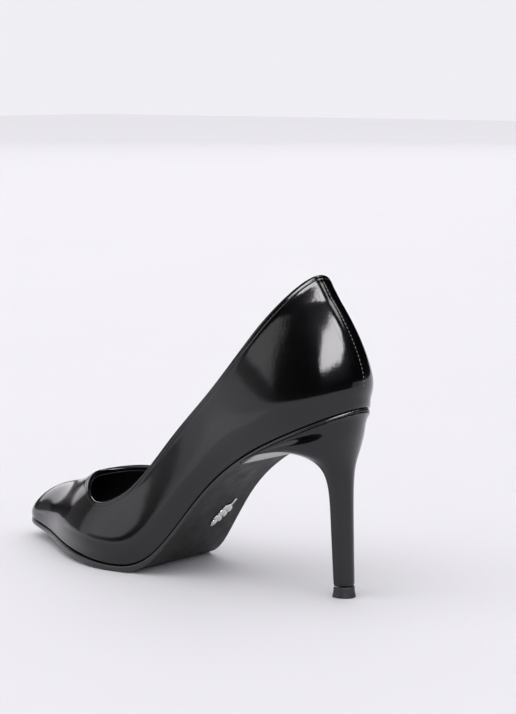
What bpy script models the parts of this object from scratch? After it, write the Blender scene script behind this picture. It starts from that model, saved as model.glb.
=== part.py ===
"""A left high heel pump for a woman's foot, EU size 37, standing on its tread and heel tip.

The shoe is drawn in millimetres in the last's own frame: x runs forward from the rearmost
point of the feather line (the edge where the upper turns under), y runs to the wearer's
left, z runs up from the floor. At the end everything moves so that the origin is the
middle of the footprint, and turns into metres.
"""

import math

import bmesh
import bpy
import numpy as np
from mathutils import Matrix

# ---------------------------------------------------------------- the last

LAST_LENGTH = 231.5
SEAT_HEIGHT = 94.5
TOE_SPRING = 11.0
BACK_RADIUS = 21.0
TOE_RADIUS = 12.0
TOE_NOSE_RADIUS = 8.0

# Height of the feather line at each station along the last.
BOTTOM_LINE = (
    (0.0, SEAT_HEIGHT), (30.0, 0.853 * SEAT_HEIGHT), (60.0, 0.692 * SEAT_HEIGHT),
    (90.0, 0.422 * SEAT_HEIGHT), (115.0, 0.1 * SEAT_HEIGHT), (135.0, 3.2), (160.0, 5.2),
    (195.0, 8.0), (LAST_LENGTH, TOE_SPRING),
)
# Half widths to the wearer's left (lateral) and right (medial) of the centre line.
LATERAL_HALF_WIDTH = (
    (20.0, 24.2), (50.0, 27.3), (85.0, 24.0), (120.0, 32.5), (150.0, 39.4), (185.0, 30.4),
    (215.0, 16.0),
)
MEDIAL_HALF_WIDTH = (
    (20.0, 25.6), (50.0, 25.4), (85.0, 22.7), (120.0, 29.5), (150.0, 39.0), (185.0, 33.2),
    (215.0, 19.8),
)
# Height of the ridge of the last above the feather line.
RIDGE_HEIGHT = (
    (0.0, 110.0), (60.0, 95.0), (110.0, 68.2), (150.0, 48.0), (170.0, 38.0), (190.0, 27.6),
    (203.0, 23.2), (220.0, 14.8),
)
CENTRE_LINE = ((0.0, 0.0), (60.0, 0.0), (120.0, 1.4), (180.0, -4.5), (LAST_LENGTH, -5.8))
# Forward lean of the wall ribs, in degrees.
RIB_LEAN = (
    (0.0, 15.6), (40.0, 27.0), (80.0, 25.0), (120.0, 20.0), (150.0, 9.5), (185.0, 7.0),
    (LAST_LENGTH, 4.0),
)
# How much flatter (above 0) or fuller (below 0) than an ellipse each rib is.
RIB_FLATNESS = ((0.0, -0.25), (60.0, -0.2), (120.0, 0.0), (170.0, 0.05), (LAST_LENGTH, 0.0))
# How far the wall tucks in at the feather line, as a share of the half width.
FEATHER_TUCK = ((0.0, 0.13), (60.0, 0.13), (120.0, 0.08), (160.0, 0.06), (LAST_LENGTH, 0.08))
TUCK_HEIGHT = 8.0
HEEL_FAN_CENTRE = 27.0
HEEL_FAN_SOFTNESS = 14.0
BACK_CURVE = 7.2
BACK_BULGE = 2.3
BACK_SHAPE_HEIGHT = 50.0
BACK_SHAPE_REACH = 120.0

# ---------------------------------------------------------------- the topline

BACK_HEIGHT = 62.0
THROAT_STATION = 175.0
LATERAL_THROAT_ROUNDNESS = 2.4
MEDIAL_THROAT_ROUNDNESS = 1.15
LATERAL_TOPLINE = (
    (0.0, BACK_HEIGHT), (20.0, 51.9), (60.0, 36.2), (100.0, 35.2), (125.0, 35.2),
    (140.0, 30.8), (155.0, 30.7),
)
MEDIAL_TOPLINE = (
    (0.0, BACK_HEIGHT), (20.0, 50.8), (60.0, 39.8), (100.0, 40.0), (130.0, 39.7),
    (152.0, 39.9),
)

# ---------------------------------------------------------------- thicknesses

GAP = 0.3
LAYER_GAP = 0.4
UPPER_THICKNESS = 0.9
MARGIN_WIDTH = 10.0
STIFFENER_THICKNESS = 0.6
LINING_THICKNESS = 0.6
TAPE_THICKNESS = 0.3
TAPE_WIDTH = 5.0
TAPE_THROAT_GAP = 27.0
BOARD_THICKNESS = 1.8
SHANK_THICKNESS = 0.9
FILLER_THICKNESS = 0.8
SOCK_THICKNESS = 1.0
PAD_THICKNESS = 1.5
SOLE_THICKNESS_BALL = 3.4
SOLE_THICKNESS_TOE = 2.8
SOLE_THICKNESS_WAIST = 1.5
SOLE_EDGE_OUT = 0.6
SOLE_EDGE_IN = 0.9

STIFFENER_DEPTH = UPPER_THICKNESS + LAYER_GAP
LINING_DEPTH = STIFFENER_DEPTH + STIFFENER_THICKNESS + LAYER_GAP
TAPE_DEPTH = STIFFENER_DEPTH + 0.2
BOARD_LEVEL = UPPER_THICKNESS + GAP
BOARD_TOP = BOARD_LEVEL + BOARD_THICKNESS
WALL_FOOT = BOARD_TOP + 1.4
BOARD_INSET = 1.6
SOCK_INSET = 4.0

# ---------------------------------------------------------------- lengths of the layers

LINING_JOINT = 128.0
BOARD_JOINT = 125.0
COUNTER_FRONT = 72.0
COUNTER_HEIGHT = 38.0
PUFF_BACK = 197.0
SHANK_REAR = 16.5
SHANK_FRONT = 112.0
SHANK_HALF_WIDTH = 4.5
FILLER_REAR = 116.0
FILLER_FRONT = 214.0
HEEL_PAD_ENDS = (8.0, 62.0)
FOREFOOT_PAD_ENDS = (128.0, 186.0)

# ---------------------------------------------------------------- the heel

HEEL_TOP_DROP = SOLE_THICKNESS_WAIST + 2 * GAP + 0.1
HEEL_RIM_INSET = 0.5
COVER_THICKNESS = 0.6
TIP_SEAM_HEIGHT = 5.6
WING_TIP_STATION = 64.0
# Back outline, x and z, from the seat down the stem.
HEEL_BACK = (
    (6.0, SEAT_HEIGHT - 8.1), (8.0, SEAT_HEIGHT - 15.3), (9.8, SEAT_HEIGHT - 24.5),
    (10.1, SEAT_HEIGHT - 34.5), (9.6, SEAT_HEIGHT - 56.5), (8.7, TIP_SEAM_HEIGHT),
)
# The edge between side and breast: along the wing as x, half width and depth under the
# heel's seat face, then down the stem as x, half width and z.
HEEL_WING = ((54.0, 23.6, 0.6), (43.0, 22.6, 2.9), (32.5, 18.0, 7.5))
HEEL_STEM = ((21.6, 8.4, SEAT_HEIGHT - 33.1), (18.5, 5.5, SEAT_HEIGHT - 56.5), (16.9, 4.9, TIP_SEAM_HEIGHT))
# How far the breast is hollowed behind that edge.
BREAST_HOLLOW = (18.0, 15.0, 11.0, 6.0, 1.0, 0.5, 0.4)
TIP_FLARE = 0.6
BLOCK_WING_SHORTENING = 10.0
DOWEL_RADIUS = 2.0
DOWEL_BORE_RADIUS = 1.25
DOWEL_TOP = SEAT_HEIGHT - 39.5
PIN_RADIUS = 0.95
PIN_BOTTOM = 2.6
PIN_TOP = 20.0

# ---------------------------------------------------------------- fasteners and ornament

RIVET_RADIUS = 1.4
RIVET_STATIONS = (44.0, 102.0)
SCREW_STATION = 26.0
SCREW_RADIUS = 1.8
SCREW_HEAD_RADIUS = 3.4
SCREW_LENGTH = 18.0
NAIL_RADIUS = 0.8
NAIL_HEAD_RADIUS = 1.7
NAIL_LENGTH = 8.5
NAIL_PLACES = ((19.0, 5.8), (19.0, -5.8), (27.0, 9.4), (27.0, -9.4))
FASTENER_TOP = BOARD_TOP - 0.05
EMBLEM_PLACE = (97.0, -4.5)
EMBLEM_LENGTH = 19.0
EMBLEM_WIDTH = 6.4
EMBLEM_THICKNESS = 0.9
EMBLEM_TURN = 21.0

STATIONS = 27
BALL_BREAK = (98.0, 138.0)
BALL_STATION_STEP = 4.0
WALL_ROWS = 9
LINING_ROWS = 7
COUNTER_ROWS = 7
SLAB_ROWS = 3
HEEL_POINTS = 11
HEEL_LEVELS = 13
MILLIMETRE = 0.001

LATERAL = 1
MEDIAL = -1


def spline(knots):
    """A natural cubic curve through the knots, straight beyond both ends."""
    x, y = np.array(knots, float).T
    step = np.diff(x)
    count = len(x)
    matrix = np.eye(count)
    right = np.zeros(count)
    for i in range(1, count - 1):
        matrix[i, i - 1:i + 2] = step[i - 1], 2 * (step[i - 1] + step[i]), step[i]
        right[i] = 6 * ((y[i + 1] - y[i]) / step[i] - (y[i] - y[i - 1]) / step[i - 1])
    bend = np.linalg.solve(matrix, right)
    first = (y[1] - y[0]) / step[0] - bend[1] * step[0] / 6
    last = (y[-1] - y[-2]) / step[-1] + bend[-2] * step[-1] / 6

    def curve(where):
        where = np.asarray(where, float)
        inside = np.clip(where, x[0], x[-1])
        i = np.clip(np.searchsorted(x, inside) - 1, 0, count - 2)
        a = (x[i + 1] - inside) / step[i]
        b = 1 - a
        cubic = ((a ** 3 - a) * bend[i] + (b ** 3 - b) * bend[i + 1]) * step[i] ** 2 / 6
        beyond = np.minimum(where - x[0], 0) * first + np.maximum(where - x[-1], 0) * last
        return a * y[i] + b * y[i + 1] + cubic + beyond

    return curve


def round_ends(station):
    """0 at both ends of the last, 1 at its middle, with upright tangents."""
    share = np.clip(station / LAST_LENGTH, 0, 1)
    return 2 * np.sqrt(share * (1 - share))


def half_width_curve(knots):
    """Half width along the last, closing round both ends with the end radii."""
    scaled = [(0.0, math.sqrt(BACK_RADIUS * LAST_LENGTH / 2))]
    scaled += [(x, width / float(round_ends(x))) for x, width in knots]
    scaled += [(LAST_LENGTH, math.sqrt(TOE_RADIUS * LAST_LENGTH / 2))]
    scale = spline(scaled)
    return lambda x: scale(x) * round_ends(x)


def ridge_curve():
    """Ridge height along the last, closing round the toe with the nose radius."""
    scaled = [(x, height / math.sqrt(1 - x / LAST_LENGTH)) for x, height in RIDGE_HEIGHT]
    scaled += [(LAST_LENGTH, math.sqrt(2 * TOE_NOSE_RADIUS * LAST_LENGTH))]
    scale = spline(scaled)
    return lambda x: scale(x) * np.sqrt(np.clip(1 - x / LAST_LENGTH, 0, 1))


bottom_height = spline(BOTTOM_LINE)
half_width = {
    LATERAL: half_width_curve(LATERAL_HALF_WIDTH),
    MEDIAL: half_width_curve(MEDIAL_HALF_WIDTH),
}
ridge_height = ridge_curve()
centre_line = spline(CENTRE_LINE)
rib_lean = spline(RIB_LEAN)
rib_flatness = spline(RIB_FLATNESS)
feather_tuck = spline(FEATHER_TUCK)


def wall_point(station, turn, side):
    """Points of the outer surface: turn goes from 0 at the feather line to 90 degrees."""
    station, turn = np.broadcast_arrays(np.asarray(station, float), np.asarray(turn, float))
    ridge = ridge_height(station)
    flatness = rib_flatness(station)
    up = ridge * np.sin(turn) * (1 - flatness * np.cos(turn) ** 2)
    out = np.cos(turn) * (1 - flatness * np.sin(turn) ** 2)
    tuck_height = np.minimum(TUCK_HEIGHT, 0.3 * np.maximum(ridge, 1e-6))
    out = out * (1 - feather_tuck(station) * np.exp(-(up / tuck_height) ** 2))
    ahead = station - HEEL_FAN_CENTRE
    fan = station + 0.5 * (np.hypot(ahead, HEEL_FAN_SOFTNESS) - ahead)
    lean = np.radians(rib_lean(station))
    rise = up / BACK_SHAPE_HEIGHT
    reach = np.clip(1 - station / BACK_SHAPE_REACH, 0, 1) ** 2
    back = BACK_CURVE * rise ** 2 - BACK_BULGE * np.sin(np.pi * np.clip(rise, 0, 1))
    x = fan + (station - fan) * out + np.sin(lean) * up + reach * back
    y = centre_line(station) + side * half_width[side](station) * out
    z = bottom_height(station) + np.cos(lean) * up
    return np.stack([x, y, z], axis=-1)


def angle_of(station):
    """The station as an angle: equal steps of it crowd towards the heel and the toe."""
    return np.arccos(np.clip(1 - 2 * np.asarray(station, float) / LAST_LENGTH, -1, 1))


def station_of(angle):
    return LAST_LENGTH * (1 - np.cos(angle)) / 2


def wall_normal(station, turn, side):
    """Outward unit normals of the outer surface."""
    small = 0.004
    angle = np.clip(angle_of(station), 0.03, math.pi - 0.03)
    turn = np.clip(turn, 0.005, math.pi / 2 - 0.005)
    along = wall_point(station_of(angle + small), turn, side)
    along = along - wall_point(station_of(angle - small), turn, side)
    upward = wall_point(station_of(angle), turn + small, side)
    upward = upward - wall_point(station_of(angle), turn - small, side)
    normal = np.cross(upward, along) * side
    return normal / np.linalg.norm(normal, axis=-1, keepdims=True)


def turn_at_height(station, height):
    """The turn at which a rib reaches a height above the feather line."""
    turns = np.linspace(0, math.pi / 2, 181)
    flatness = float(rib_flatness(station))
    heights = float(ridge_height(station)) * np.sin(turns) * (1 - flatness * np.cos(turns) ** 2)
    return float(np.interp(height, heights, turns))


def topline_curve(knots, roundness):
    """The turn of the topline, which closes over the ridge in a round throat."""
    scaled = []
    for station, height in knots:
        opening = math.pi / 2 - turn_at_height(station, height)
        scaled.append((station, opening / math.sqrt(1 - station / THROAT_STATION)))
    scaled.append((THROAT_STATION, roundness))
    scale = spline(scaled)

    def turn(station):
        room = np.sqrt(np.clip(1 - np.asarray(station, float) / THROAT_STATION, 0, 1))
        return math.pi / 2 - scale(np.minimum(station, THROAT_STATION)) * room

    return turn


topline_turn = {
    LATERAL: topline_curve(LATERAL_TOPLINE, LATERAL_THROAT_ROUNDNESS),
    MEDIAL: topline_curve(MEDIAL_TOPLINE, MEDIAL_THROAT_ROUNDNESS),
}


def feather_normal(station, side):
    """Outward unit normal of the feather outline, seen from above."""
    angle = np.clip(angle_of(station), 0.03, math.pi - 0.03)
    ahead = wall_point(station_of(angle + 0.01), 0, side)
    behind = wall_point(station_of(angle - 0.01), 0, side)
    tangent = (ahead - behind)[..., :2]
    tangent = tangent / np.linalg.norm(tangent, axis=-1, keepdims=True)
    return np.stack([-tangent[..., 1], tangent[..., 0]], axis=-1) * side


def feather_inset(station, side, inset):
    """Plan view points at a distance inside the feather line."""
    station = np.asarray(station, float)
    inset = np.broadcast_to(inset, station.shape)
    edge = wall_point(station, 0, side)[..., :2]
    moved = edge - feather_normal(station, side) * inset[..., None]
    at_end = (station < 1e-6) | (station > LAST_LENGTH - 1e-6)
    inward = np.where(station < LAST_LENGTH / 2, 1.0, -1.0) * inset
    moved[..., 0] = np.where(at_end, edge[..., 0] + inward, moved[..., 0])
    moved[..., 1] = np.where(at_end, edge[..., 1], moved[..., 1])
    return moved


def bottom_point(plan, level):
    """Points at a level above the bottom of the last, square to it."""
    x = plan[..., 0]
    slope = (bottom_height(x + 0.5) - bottom_height(x - 0.5)) / 1.0
    length = np.sqrt(1 + slope ** 2)
    away = np.stack([-slope / length, np.zeros_like(x), 1 / length], axis=-1)
    base = np.stack([x, plan[..., 1], bottom_height(x)], axis=-1)
    return base + away * np.broadcast_to(level, x.shape)[..., None]


def stations_between(rear, front, extra=()):
    """Stations from rear to front, crowded at the ends of the last, with exact ends."""
    every = station_of(np.linspace(0, math.pi, STATIONS + 1))
    rest = [x for x in every if not BALL_BREAK[0] - 2 < x < BALL_BREAK[1] + 2]
    every = sorted(rest + list(np.arange(BALL_BREAK[0], BALL_BREAK[1] + 1, BALL_STATION_STEP)))
    wanted = sorted([rear, front, *extra])
    kept = [x for x in every if rear < x < front]
    kept = [x for x in kept if all(abs(x - w) > 0.9 for w in wanted if 5 < w < LAST_LENGTH - 5)]
    return np.array(sorted(set(kept + wanted)))


# ---------------------------------------------------------------- meshes and materials


def make_material(name, colour, roughness, metallic):
    material = bpy.data.materials.new(name)
    material.use_nodes = True
    shader = material.node_tree.nodes["Principled BSDF"]
    shader.inputs["Base Color"].default_value = (*colour, 1.0)
    shader.inputs["Roughness"].default_value = roughness
    shader.inputs["Metallic"].default_value = metallic
    material.diffuse_color = (*colour, 1.0)
    return material


def add_object(name, points, faces, look):
    """One mesh object in metres, with doubled points joined."""
    mesh = bpy.data.meshes.new(name)
    mesh.from_pydata([tuple(p * MILLIMETRE) for p in points], [], faces)
    work = bmesh.new()
    work.from_mesh(mesh)
    bmesh.ops.remove_doubles(work, verts=work.verts, dist=1e-6)
    bmesh.ops.dissolve_degenerate(work, dist=1e-7, edges=work.edges)
    for face in work.faces:
        face.smooth = True
    work.to_mesh(mesh)
    work.free()
    mesh.materials.append(make_material(name, *look))
    part = bpy.data.objects.new(name, mesh)
    bpy.context.scene.collection.objects.link(part)
    return part


def face_outward(part):
    work = bmesh.new()
    work.from_mesh(part.data)
    bmesh.ops.recalc_face_normals(work, faces=work.faces)
    work.to_mesh(part.data)
    work.free()
    return part


def grid_faces(rows, columns, start=0, flip=False):
    """Quads of a grid that is stored row by row."""
    faces = []
    for i in range(rows - 1):
        for j in range(columns - 1):
            a = start + i * columns + j
            face = (a, a + 1, a + columns + 1, a + columns)
            faces.append(face[::-1] if flip else face)
    return faces


def sheet_object(name, grids, look):
    """An open sheet of grids; each grid comes with its flip."""
    points = []
    faces = []
    for grid, flip in grids:
        rows, columns = grid.shape[:2]
        faces += grid_faces(rows, columns, len(points), flip)
        points += list(grid.reshape(-1, 3))
    return add_object(name, points, faces, look)


def thicken(part, thickness):
    """Gives a sheet its thickness on the inner side."""
    solid = part.modifiers.new("thickness", "SOLIDIFY")
    solid.thickness = thickness * MILLIMETRE
    solid.offset = -1.0
    solid.use_even_offset = True
    solid.use_quality_normals = True
    return part


def cut(part, cutter):
    """Cuts clearance holes for whatever passes through the part."""
    hole = part.modifiers.new("holes", "BOOLEAN")
    hole.operation = "DIFFERENCE"
    hole.solver = "EXACT"
    hole.object = cutter
    return part


def make_cutter(part):
    part.hide_render = True
    part.display_type = "WIRE"
    return part


# ---------------------------------------------------------------- walls of the shoe


def wall_grid(stations, low, high, side, depth, rows):
    """Rows of points on a wall layer at a depth under the outer surface."""
    share = np.linspace(0, 1, rows + 1)[None, :]
    bottom = np.array([low(x) for x in stations])[:, None]
    top = np.array([high(x) for x in stations])[:, None]
    turn = bottom + (np.maximum(top, bottom) - bottom) * share
    station = np.broadcast_to(stations[:, None], turn.shape)
    points = wall_point(station, turn, side) - depth * wall_normal(station, turn, side)
    return points


def join_sides(lateral, medial, stations, closed_from):
    """Makes both sides meet at the back seam and along the closed ridge."""
    if stations[0] < 1e-6:
        middle = (lateral[0] + medial[0]) / 2
        lateral[0] = middle
        medial[0] = middle
    for i in np.flatnonzero(stations >= closed_from - 1e-6):
        middle = (lateral[i, -1] + medial[i, -1]) / 2
        lateral[i, -1] = middle
        medial[i, -1] = middle


def wall_layer(name, stations, low, depth, thickness, rows, look, high=None, closed_from=None):
    """A wall layer on both sides of the shoe, joined at the back and over the ridge."""
    grids = {}
    for side in (LATERAL, MEDIAL):
        upper_edge = high[side] if high else topline_turn[side]
        grids[side] = wall_grid(stations, low, upper_edge, side, depth, rows)
    join_sides(grids[LATERAL], grids[MEDIAL], stations, closed_from or THROAT_STATION)
    sheet = sheet_object(name, [(grids[LATERAL], False), (grids[MEDIAL], True)], look)
    return thicken(sheet, thickness)


def throat_stations(rear, front):
    """Stations with extra ones where the topline turns round the throat."""
    extra = [THROAT_STATION - back for back in (0.0, 0.8, 3.0, 7.0)]
    return stations_between(rear, front, [x for x in extra if rear < x < front])


def build_upper():
    """The outer, from the topline down the wall and under the edge as lasting margin."""
    stations = throat_stations(0.0, LAST_LENGTH)
    grids = []
    for side in (LATERAL, MEDIAL):
        wall = wall_grid(stations, lambda x: 0.0, topline_turn[side], side, 0.0, WALL_ROWS)
        margin = [feather_inset(stations, side, width) for width in (MARGIN_WIDTH, 1.2)]
        margin = [bottom_point(plan, 0.0) for plan in margin]
        grids.append(np.concatenate([np.stack(margin, axis=1), wall], axis=1))
    join_sides(grids[0], grids[1], stations, THROAT_STATION)
    sheet = sheet_object("upper", [(grids[0], False), (grids[1], True)], ((0.006, 0.006, 0.007), 0.12, 0.0))
    return thicken(sheet, UPPER_THICKNESS)


def foot_turn(x):
    """Where the inner layers stand on the insole board."""
    return turn_at_height(x, WALL_FOOT)


def nose_station():
    """The foremost station at which the inner layers still have height."""
    stations = np.linspace(LAST_LENGTH - 12, LAST_LENGTH, 400)
    tall = stations[ridge_height(stations) > WALL_FOOT + 0.05]
    return float(tall[-1])


def build_quarter_lining():
    stations = stations_between(0.0, LINING_JOINT)
    look = ((0.012, 0.012, 0.013), 0.6, 0.0)
    return wall_layer(
        "quarter_lining", stations, foot_turn, LINING_DEPTH, LINING_THICKNESS, LINING_ROWS, look)


def build_vamp_lining():
    stations = throat_stations(LINING_JOINT + GAP, nose_station())
    look = ((0.014, 0.014, 0.015), 0.65, 0.0)
    return wall_layer("vamp_lining", stations, foot_turn, LINING_DEPTH, LINING_THICKNESS, LINING_ROWS, look)


def build_heel_counter():
    """The cupped stiffener round the heel; its top edge falls towards the front."""
    stations = stations_between(0.0, COUNTER_FRONT)

    def upper_edge(x):
        return turn_at_height(x, COUNTER_HEIGHT - 22.0 * (x / COUNTER_FRONT) ** 1.5)

    edges = {LATERAL: upper_edge, MEDIAL: upper_edge}
    look = ((0.62, 0.55, 0.42), 0.8, 0.0)
    return wall_layer(
        "heel_counter", stations, foot_turn, STIFFENER_DEPTH, STIFFENER_THICKNESS,
        COUNTER_ROWS, look, high=edges)


def build_toe_puff():
    stations = stations_between(PUFF_BACK, nose_station())
    look = ((0.70, 0.66, 0.55), 0.8, 0.0)
    return wall_layer(
        "toe_puff", stations, foot_turn, STIFFENER_DEPTH, STIFFENER_THICKNESS,
        LINING_ROWS, look, closed_from=PUFF_BACK)


def build_topline_tape():
    """The folded band that follows the topline between outer and lining."""
    stations = stations_between(0.0, THROAT_STATION - TAPE_THROAT_GAP)
    grids = []
    for side in (LATERAL, MEDIAL):
        top = topline_turn[side]

        def low(x, side=side, top=top):
            rise = float(ridge_height(x)) * math.sin(float(top(x)))
            below = turn_at_height(x, max(rise - TAPE_WIDTH, 1.0))
            return min(below, float(top(x)) - 0.06)

        grids.append(wall_grid(stations, low, top, side, TAPE_DEPTH, 1))
    join_sides(grids[0], grids[1], stations, THROAT_STATION)
    look = ((0.05, 0.05, 0.055), 0.7, 0.0)
    tape = sheet_object("topline_tape", [(grids[0], False), (grids[1], True)], look)
    return thicken(tape, TAPE_THICKNESS)


# ---------------------------------------------------------------- flat layers of the bottom


def slab(name, stations, inset, low, high, look, rows=SLAB_ROWS, floor=False):
    """A layer of the bottom between two levels, with its edge inside the feather line."""
    edges = [feather_inset(stations, side, inset(stations)) for side in (LATERAL, MEDIAL)]
    share = np.linspace(0, 1, rows + 1)[None, :, None]
    plan = edges[0][:, None] * (1 - share) + edges[1][:, None] * share
    return layer_between(name, plan, low, high, look, floor)


def strip(name, stations, half, low, high, look, rows=2):
    """A layer of the bottom of given half width about the centre line."""
    width = half(stations)
    share = np.linspace(1, -1, rows + 1)
    y = centre_line(stations)[:, None] + width[:, None] * share
    plan = np.stack([np.broadcast_to(stations[:, None], y.shape), y], axis=-1)
    return layer_between(name, plan, low, high, look, False)


def layer_between(name, plan, low, high, look, floor):
    """Closes the space between two levels over a plan grid."""
    x = plan[..., 0]
    bottom = bottom_point(plan, low(x))
    if floor:
        bottom[..., 2] = np.maximum(bottom[..., 2], 0.0)
    top = bottom_point(plan, high(x))
    rows, columns = x.shape
    count = rows * columns
    points = list(bottom.reshape(-1, 3)) + list(top.reshape(-1, 3))
    faces = grid_faces(rows, columns, 0) + grid_faces(rows, columns, count, True)
    rim = [j for j in range(columns)]
    rim += [i * columns + columns - 1 for i in range(1, rows)]
    rim += [(rows - 1) * columns + j for j in range(columns - 2, -1, -1)]
    rim += [i * columns for i in range(rows - 2, 0, -1)]
    for a, b in zip(rim, rim[1:] + rim[:1]):
        faces.append((a, b, b + count, a + count))
    return face_outward(add_object(name, points, faces, look))


def constant(value):
    return lambda x: np.full(np.shape(x), float(value))


def smooth_step(x, start, end):
    share = np.clip((np.asarray(x, float) - start) / (end - start), 0, 1)
    return share * share * (3 - 2 * share)


def pad_height(x):
    """Thickness of the foam under the sock: two pads with skived ends."""
    height = np.zeros(np.shape(x))
    for rear, front in (HEEL_PAD_ENDS, FOREFOOT_PAD_ENDS):
        rise = smooth_step(x, rear - 6, rear + 8) * (1 - smooth_step(x, front - 8, front + 6))
        height = height + rise * PAD_THICKNESS
    return height


def build_boards():
    inset = constant(BOARD_INSET)
    rear = stations_between(0.0, BOARD_JOINT - GAP / 2)
    front = stations_between(BOARD_JOINT + GAP / 2, LAST_LENGTH)
    low = constant(BOARD_LEVEL)
    high = constant(BOARD_TOP)
    shank_board = slab("shank_board", rear, inset, low, high, ((0.42, 0.28, 0.17), 0.85, 0.0))
    slab("insole_board", front, inset, low, high, ((0.72, 0.60, 0.44), 0.85, 0.0))
    return shank_board


def build_sock_and_pads():
    inset = constant(SOCK_INSET)
    level = BOARD_TOP + GAP

    def sock_low(x):
        height = pad_height(x)
        return level + height + GAP * np.clip(height / 0.2, 0, 1)

    whole = stations_between(0.0, LAST_LENGTH - 6.0)
    slab("sock_liner", whole, inset, sock_low, lambda x: sock_low(x) + SOCK_THICKNESS,
         ((0.016, 0.016, 0.017), 0.5, 0.0))
    for name, ends in (("heel_pad", HEEL_PAD_ENDS), ("forefoot_pad", FOREFOOT_PAD_ENDS)):
        slab(name, stations_between(*ends), constant(SOCK_INSET + 3.0), constant(level),
             lambda x: level + np.maximum(pad_height(x) - 0.05, 0.3), ((0.75, 0.72, 0.35), 0.9, 0.0), rows=3)


def build_shank():
    stations = stations_between(SHANK_REAR, SHANK_FRONT)

    def half(x):
        ends = np.minimum(x - SHANK_REAR, SHANK_FRONT - x)
        return SHANK_HALF_WIDTH * (0.55 + 0.45 * np.sqrt(np.clip(ends / 6.0, 0, 1)))

    shank = strip("steel_shank", stations, half, constant(0.05), constant(0.05 + SHANK_THICKNESS),
                  ((0.55, 0.56, 0.58), 0.3, 1.0))
    inset = constant(MARGIN_WIDTH + 1.5)
    slab("bottom_filler", stations_between(FILLER_REAR, FILLER_FRONT), inset, constant(0.05),
         constant(0.05 + FILLER_THICKNESS), ((0.35, 0.24, 0.15), 0.95, 0.0), rows=3)
    return shank


def sole_thickness(x):
    forepart = smooth_step(x, 102.0, 132.0)
    toe = smooth_step(x, 160.0, 215.0) * (SOLE_THICKNESS_TOE - SOLE_THICKNESS_BALL)
    return SOLE_THICKNESS_WAIST + forepart * (SOLE_THICKNESS_BALL - SOLE_THICKNESS_WAIST) + toe


def build_outsole():
    """The full length sole: a tread at the ball, thin along the waist and under the seat."""
    def inset(x):
        return SOLE_EDGE_IN - smooth_step(x, 62.0, 118.0) * (SOLE_EDGE_IN + SOLE_EDGE_OUT)

    stations = stations_between(0.0, LAST_LENGTH, [46.0, 52.0, 58.0, 64.0, 132.5, 137.5, 142.5])
    return slab("outsole", stations, inset, lambda x: -GAP - sole_thickness(x), constant(-GAP),
                ((0.02, 0.018, 0.017), 0.45, 0.0), rows=SLAB_ROWS, floor=True)


# ---------------------------------------------------------------- the heel


def heel_top(x):
    """Height of the heel's seat, under the sole."""
    plan = np.stack([np.asarray(x, float), np.zeros(np.shape(x))], axis=-1)
    level = bottom_point(plan, -HEEL_TOP_DROP)
    return bottom_height(x) + (level[..., 2] - bottom_height(plan[..., 0])) * 1.15


def seat_half_width(x, side, inset):
    """Half width of the heel's seat, just inside the feather line."""
    stations = 90.0 * np.linspace(0, 1, 61) ** 2
    edge = feather_inset(stations, side, HEEL_RIM_INSET + inset)
    return np.interp(x, edge[:, 0], np.abs(edge[:, 1]))


def heel_frame(inset):
    """Curves of level for the back, the edge and the breast hollow, moved in by inset."""
    wing = [(x, width, float(heel_top(x)) - depth) for x, width, depth in HEEL_WING]
    levels = np.linspace(0, 1, len(wing) + len(HEEL_STEM) + 1)
    shorter = BLOCK_WING_SHORTENING + 4.0 * inset if inset > 0 else 0.0
    tip_x = WING_TIP_STATION - shorter - inset
    back_x = float(feather_inset(np.zeros(1), LATERAL, HEEL_RIM_INSET + inset)[0, 0])
    back = [(back_x, float(heel_top(back_x)))]
    back += [(x + inset, z) for x, z in HEEL_BACK]
    edge = [(tip_x, 23.4 - inset, float(heel_top(tip_x)))]
    low = spline([(x, z) for x, _, z in reversed(wing)])
    for i, (x, width, z) in enumerate([*wing, *HEEL_STEM]):
        if i < 3:
            moved = x - inset - shorter * (0.66, 0.38, 0.1)[i]
            edge.append((moved, width - inset, float(low(moved)) + 1.2 * inset))
        else:
            edge.append((x - inset, width - inset, z + (0.5 * inset if i == 3 else 0.0)))
    hollow = [depth + inset * 0.3 for depth in BREAST_HOLLOW]
    back_curves = [spline(list(zip(levels, column))) for column in zip(*back)]
    edge_curves = [spline(list(zip(levels, column))) for column in zip(*edge)]
    return back_curves, edge_curves, spline(list(zip(levels, hollow)))


def heel_ring(level, frame, inset):
    """A closed ring: the rounded back from edge to edge, then the hollow breast."""
    back, edge, hollow = frame
    back_x, back_z = (float(curve(level)) for curve in back)
    edge_x, width, edge_z = (float(curve(level)) for curve in edge)
    turn = np.linspace(0, math.pi / 2, HEEL_POINTS + 1)
    share = 1 - np.cos(turn)
    blend = float(smooth_step(level, 0.0, 0.34))
    seat_back = float(back[0](0.0))
    sides = {}
    for side in (LATERAL, MEDIAL):
        run = share * (edge_x - back_x)
        stem = width * np.sqrt(np.clip(1 - (1 - np.minimum(share / 0.72, 1)) ** 2, 0, 1))
        seat = seat_half_width(seat_back + run, side, inset)
        seat = np.where(share < 1e-6, 0.0, np.maximum(seat, 0.2))
        sides[side] = np.stack([back_x + run, side * ((1 - blend) * seat + blend * stem)], axis=-1)
    lateral, medial = sides[LATERAL], sides[MEDIAL]
    across = np.linspace(0, 1, 8)[1:-1]
    depth = float(hollow(level)) * (1 - (2 * across - 1) ** 2)
    breast = np.stack([edge_x - depth, lateral[-1, 1] * (1 - across) + medial[-1, 1] * across], axis=-1)
    plan = np.concatenate([lateral, breast, medial[:0:-1]])
    if level < 1e-9:
        height = heel_top(plan[:, 0])
    else:
        height = back_z + (plan[:, 0] - back_x) / (edge_x - back_x) * (edge_z - back_z)
    return np.column_stack([plan, height])


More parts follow.
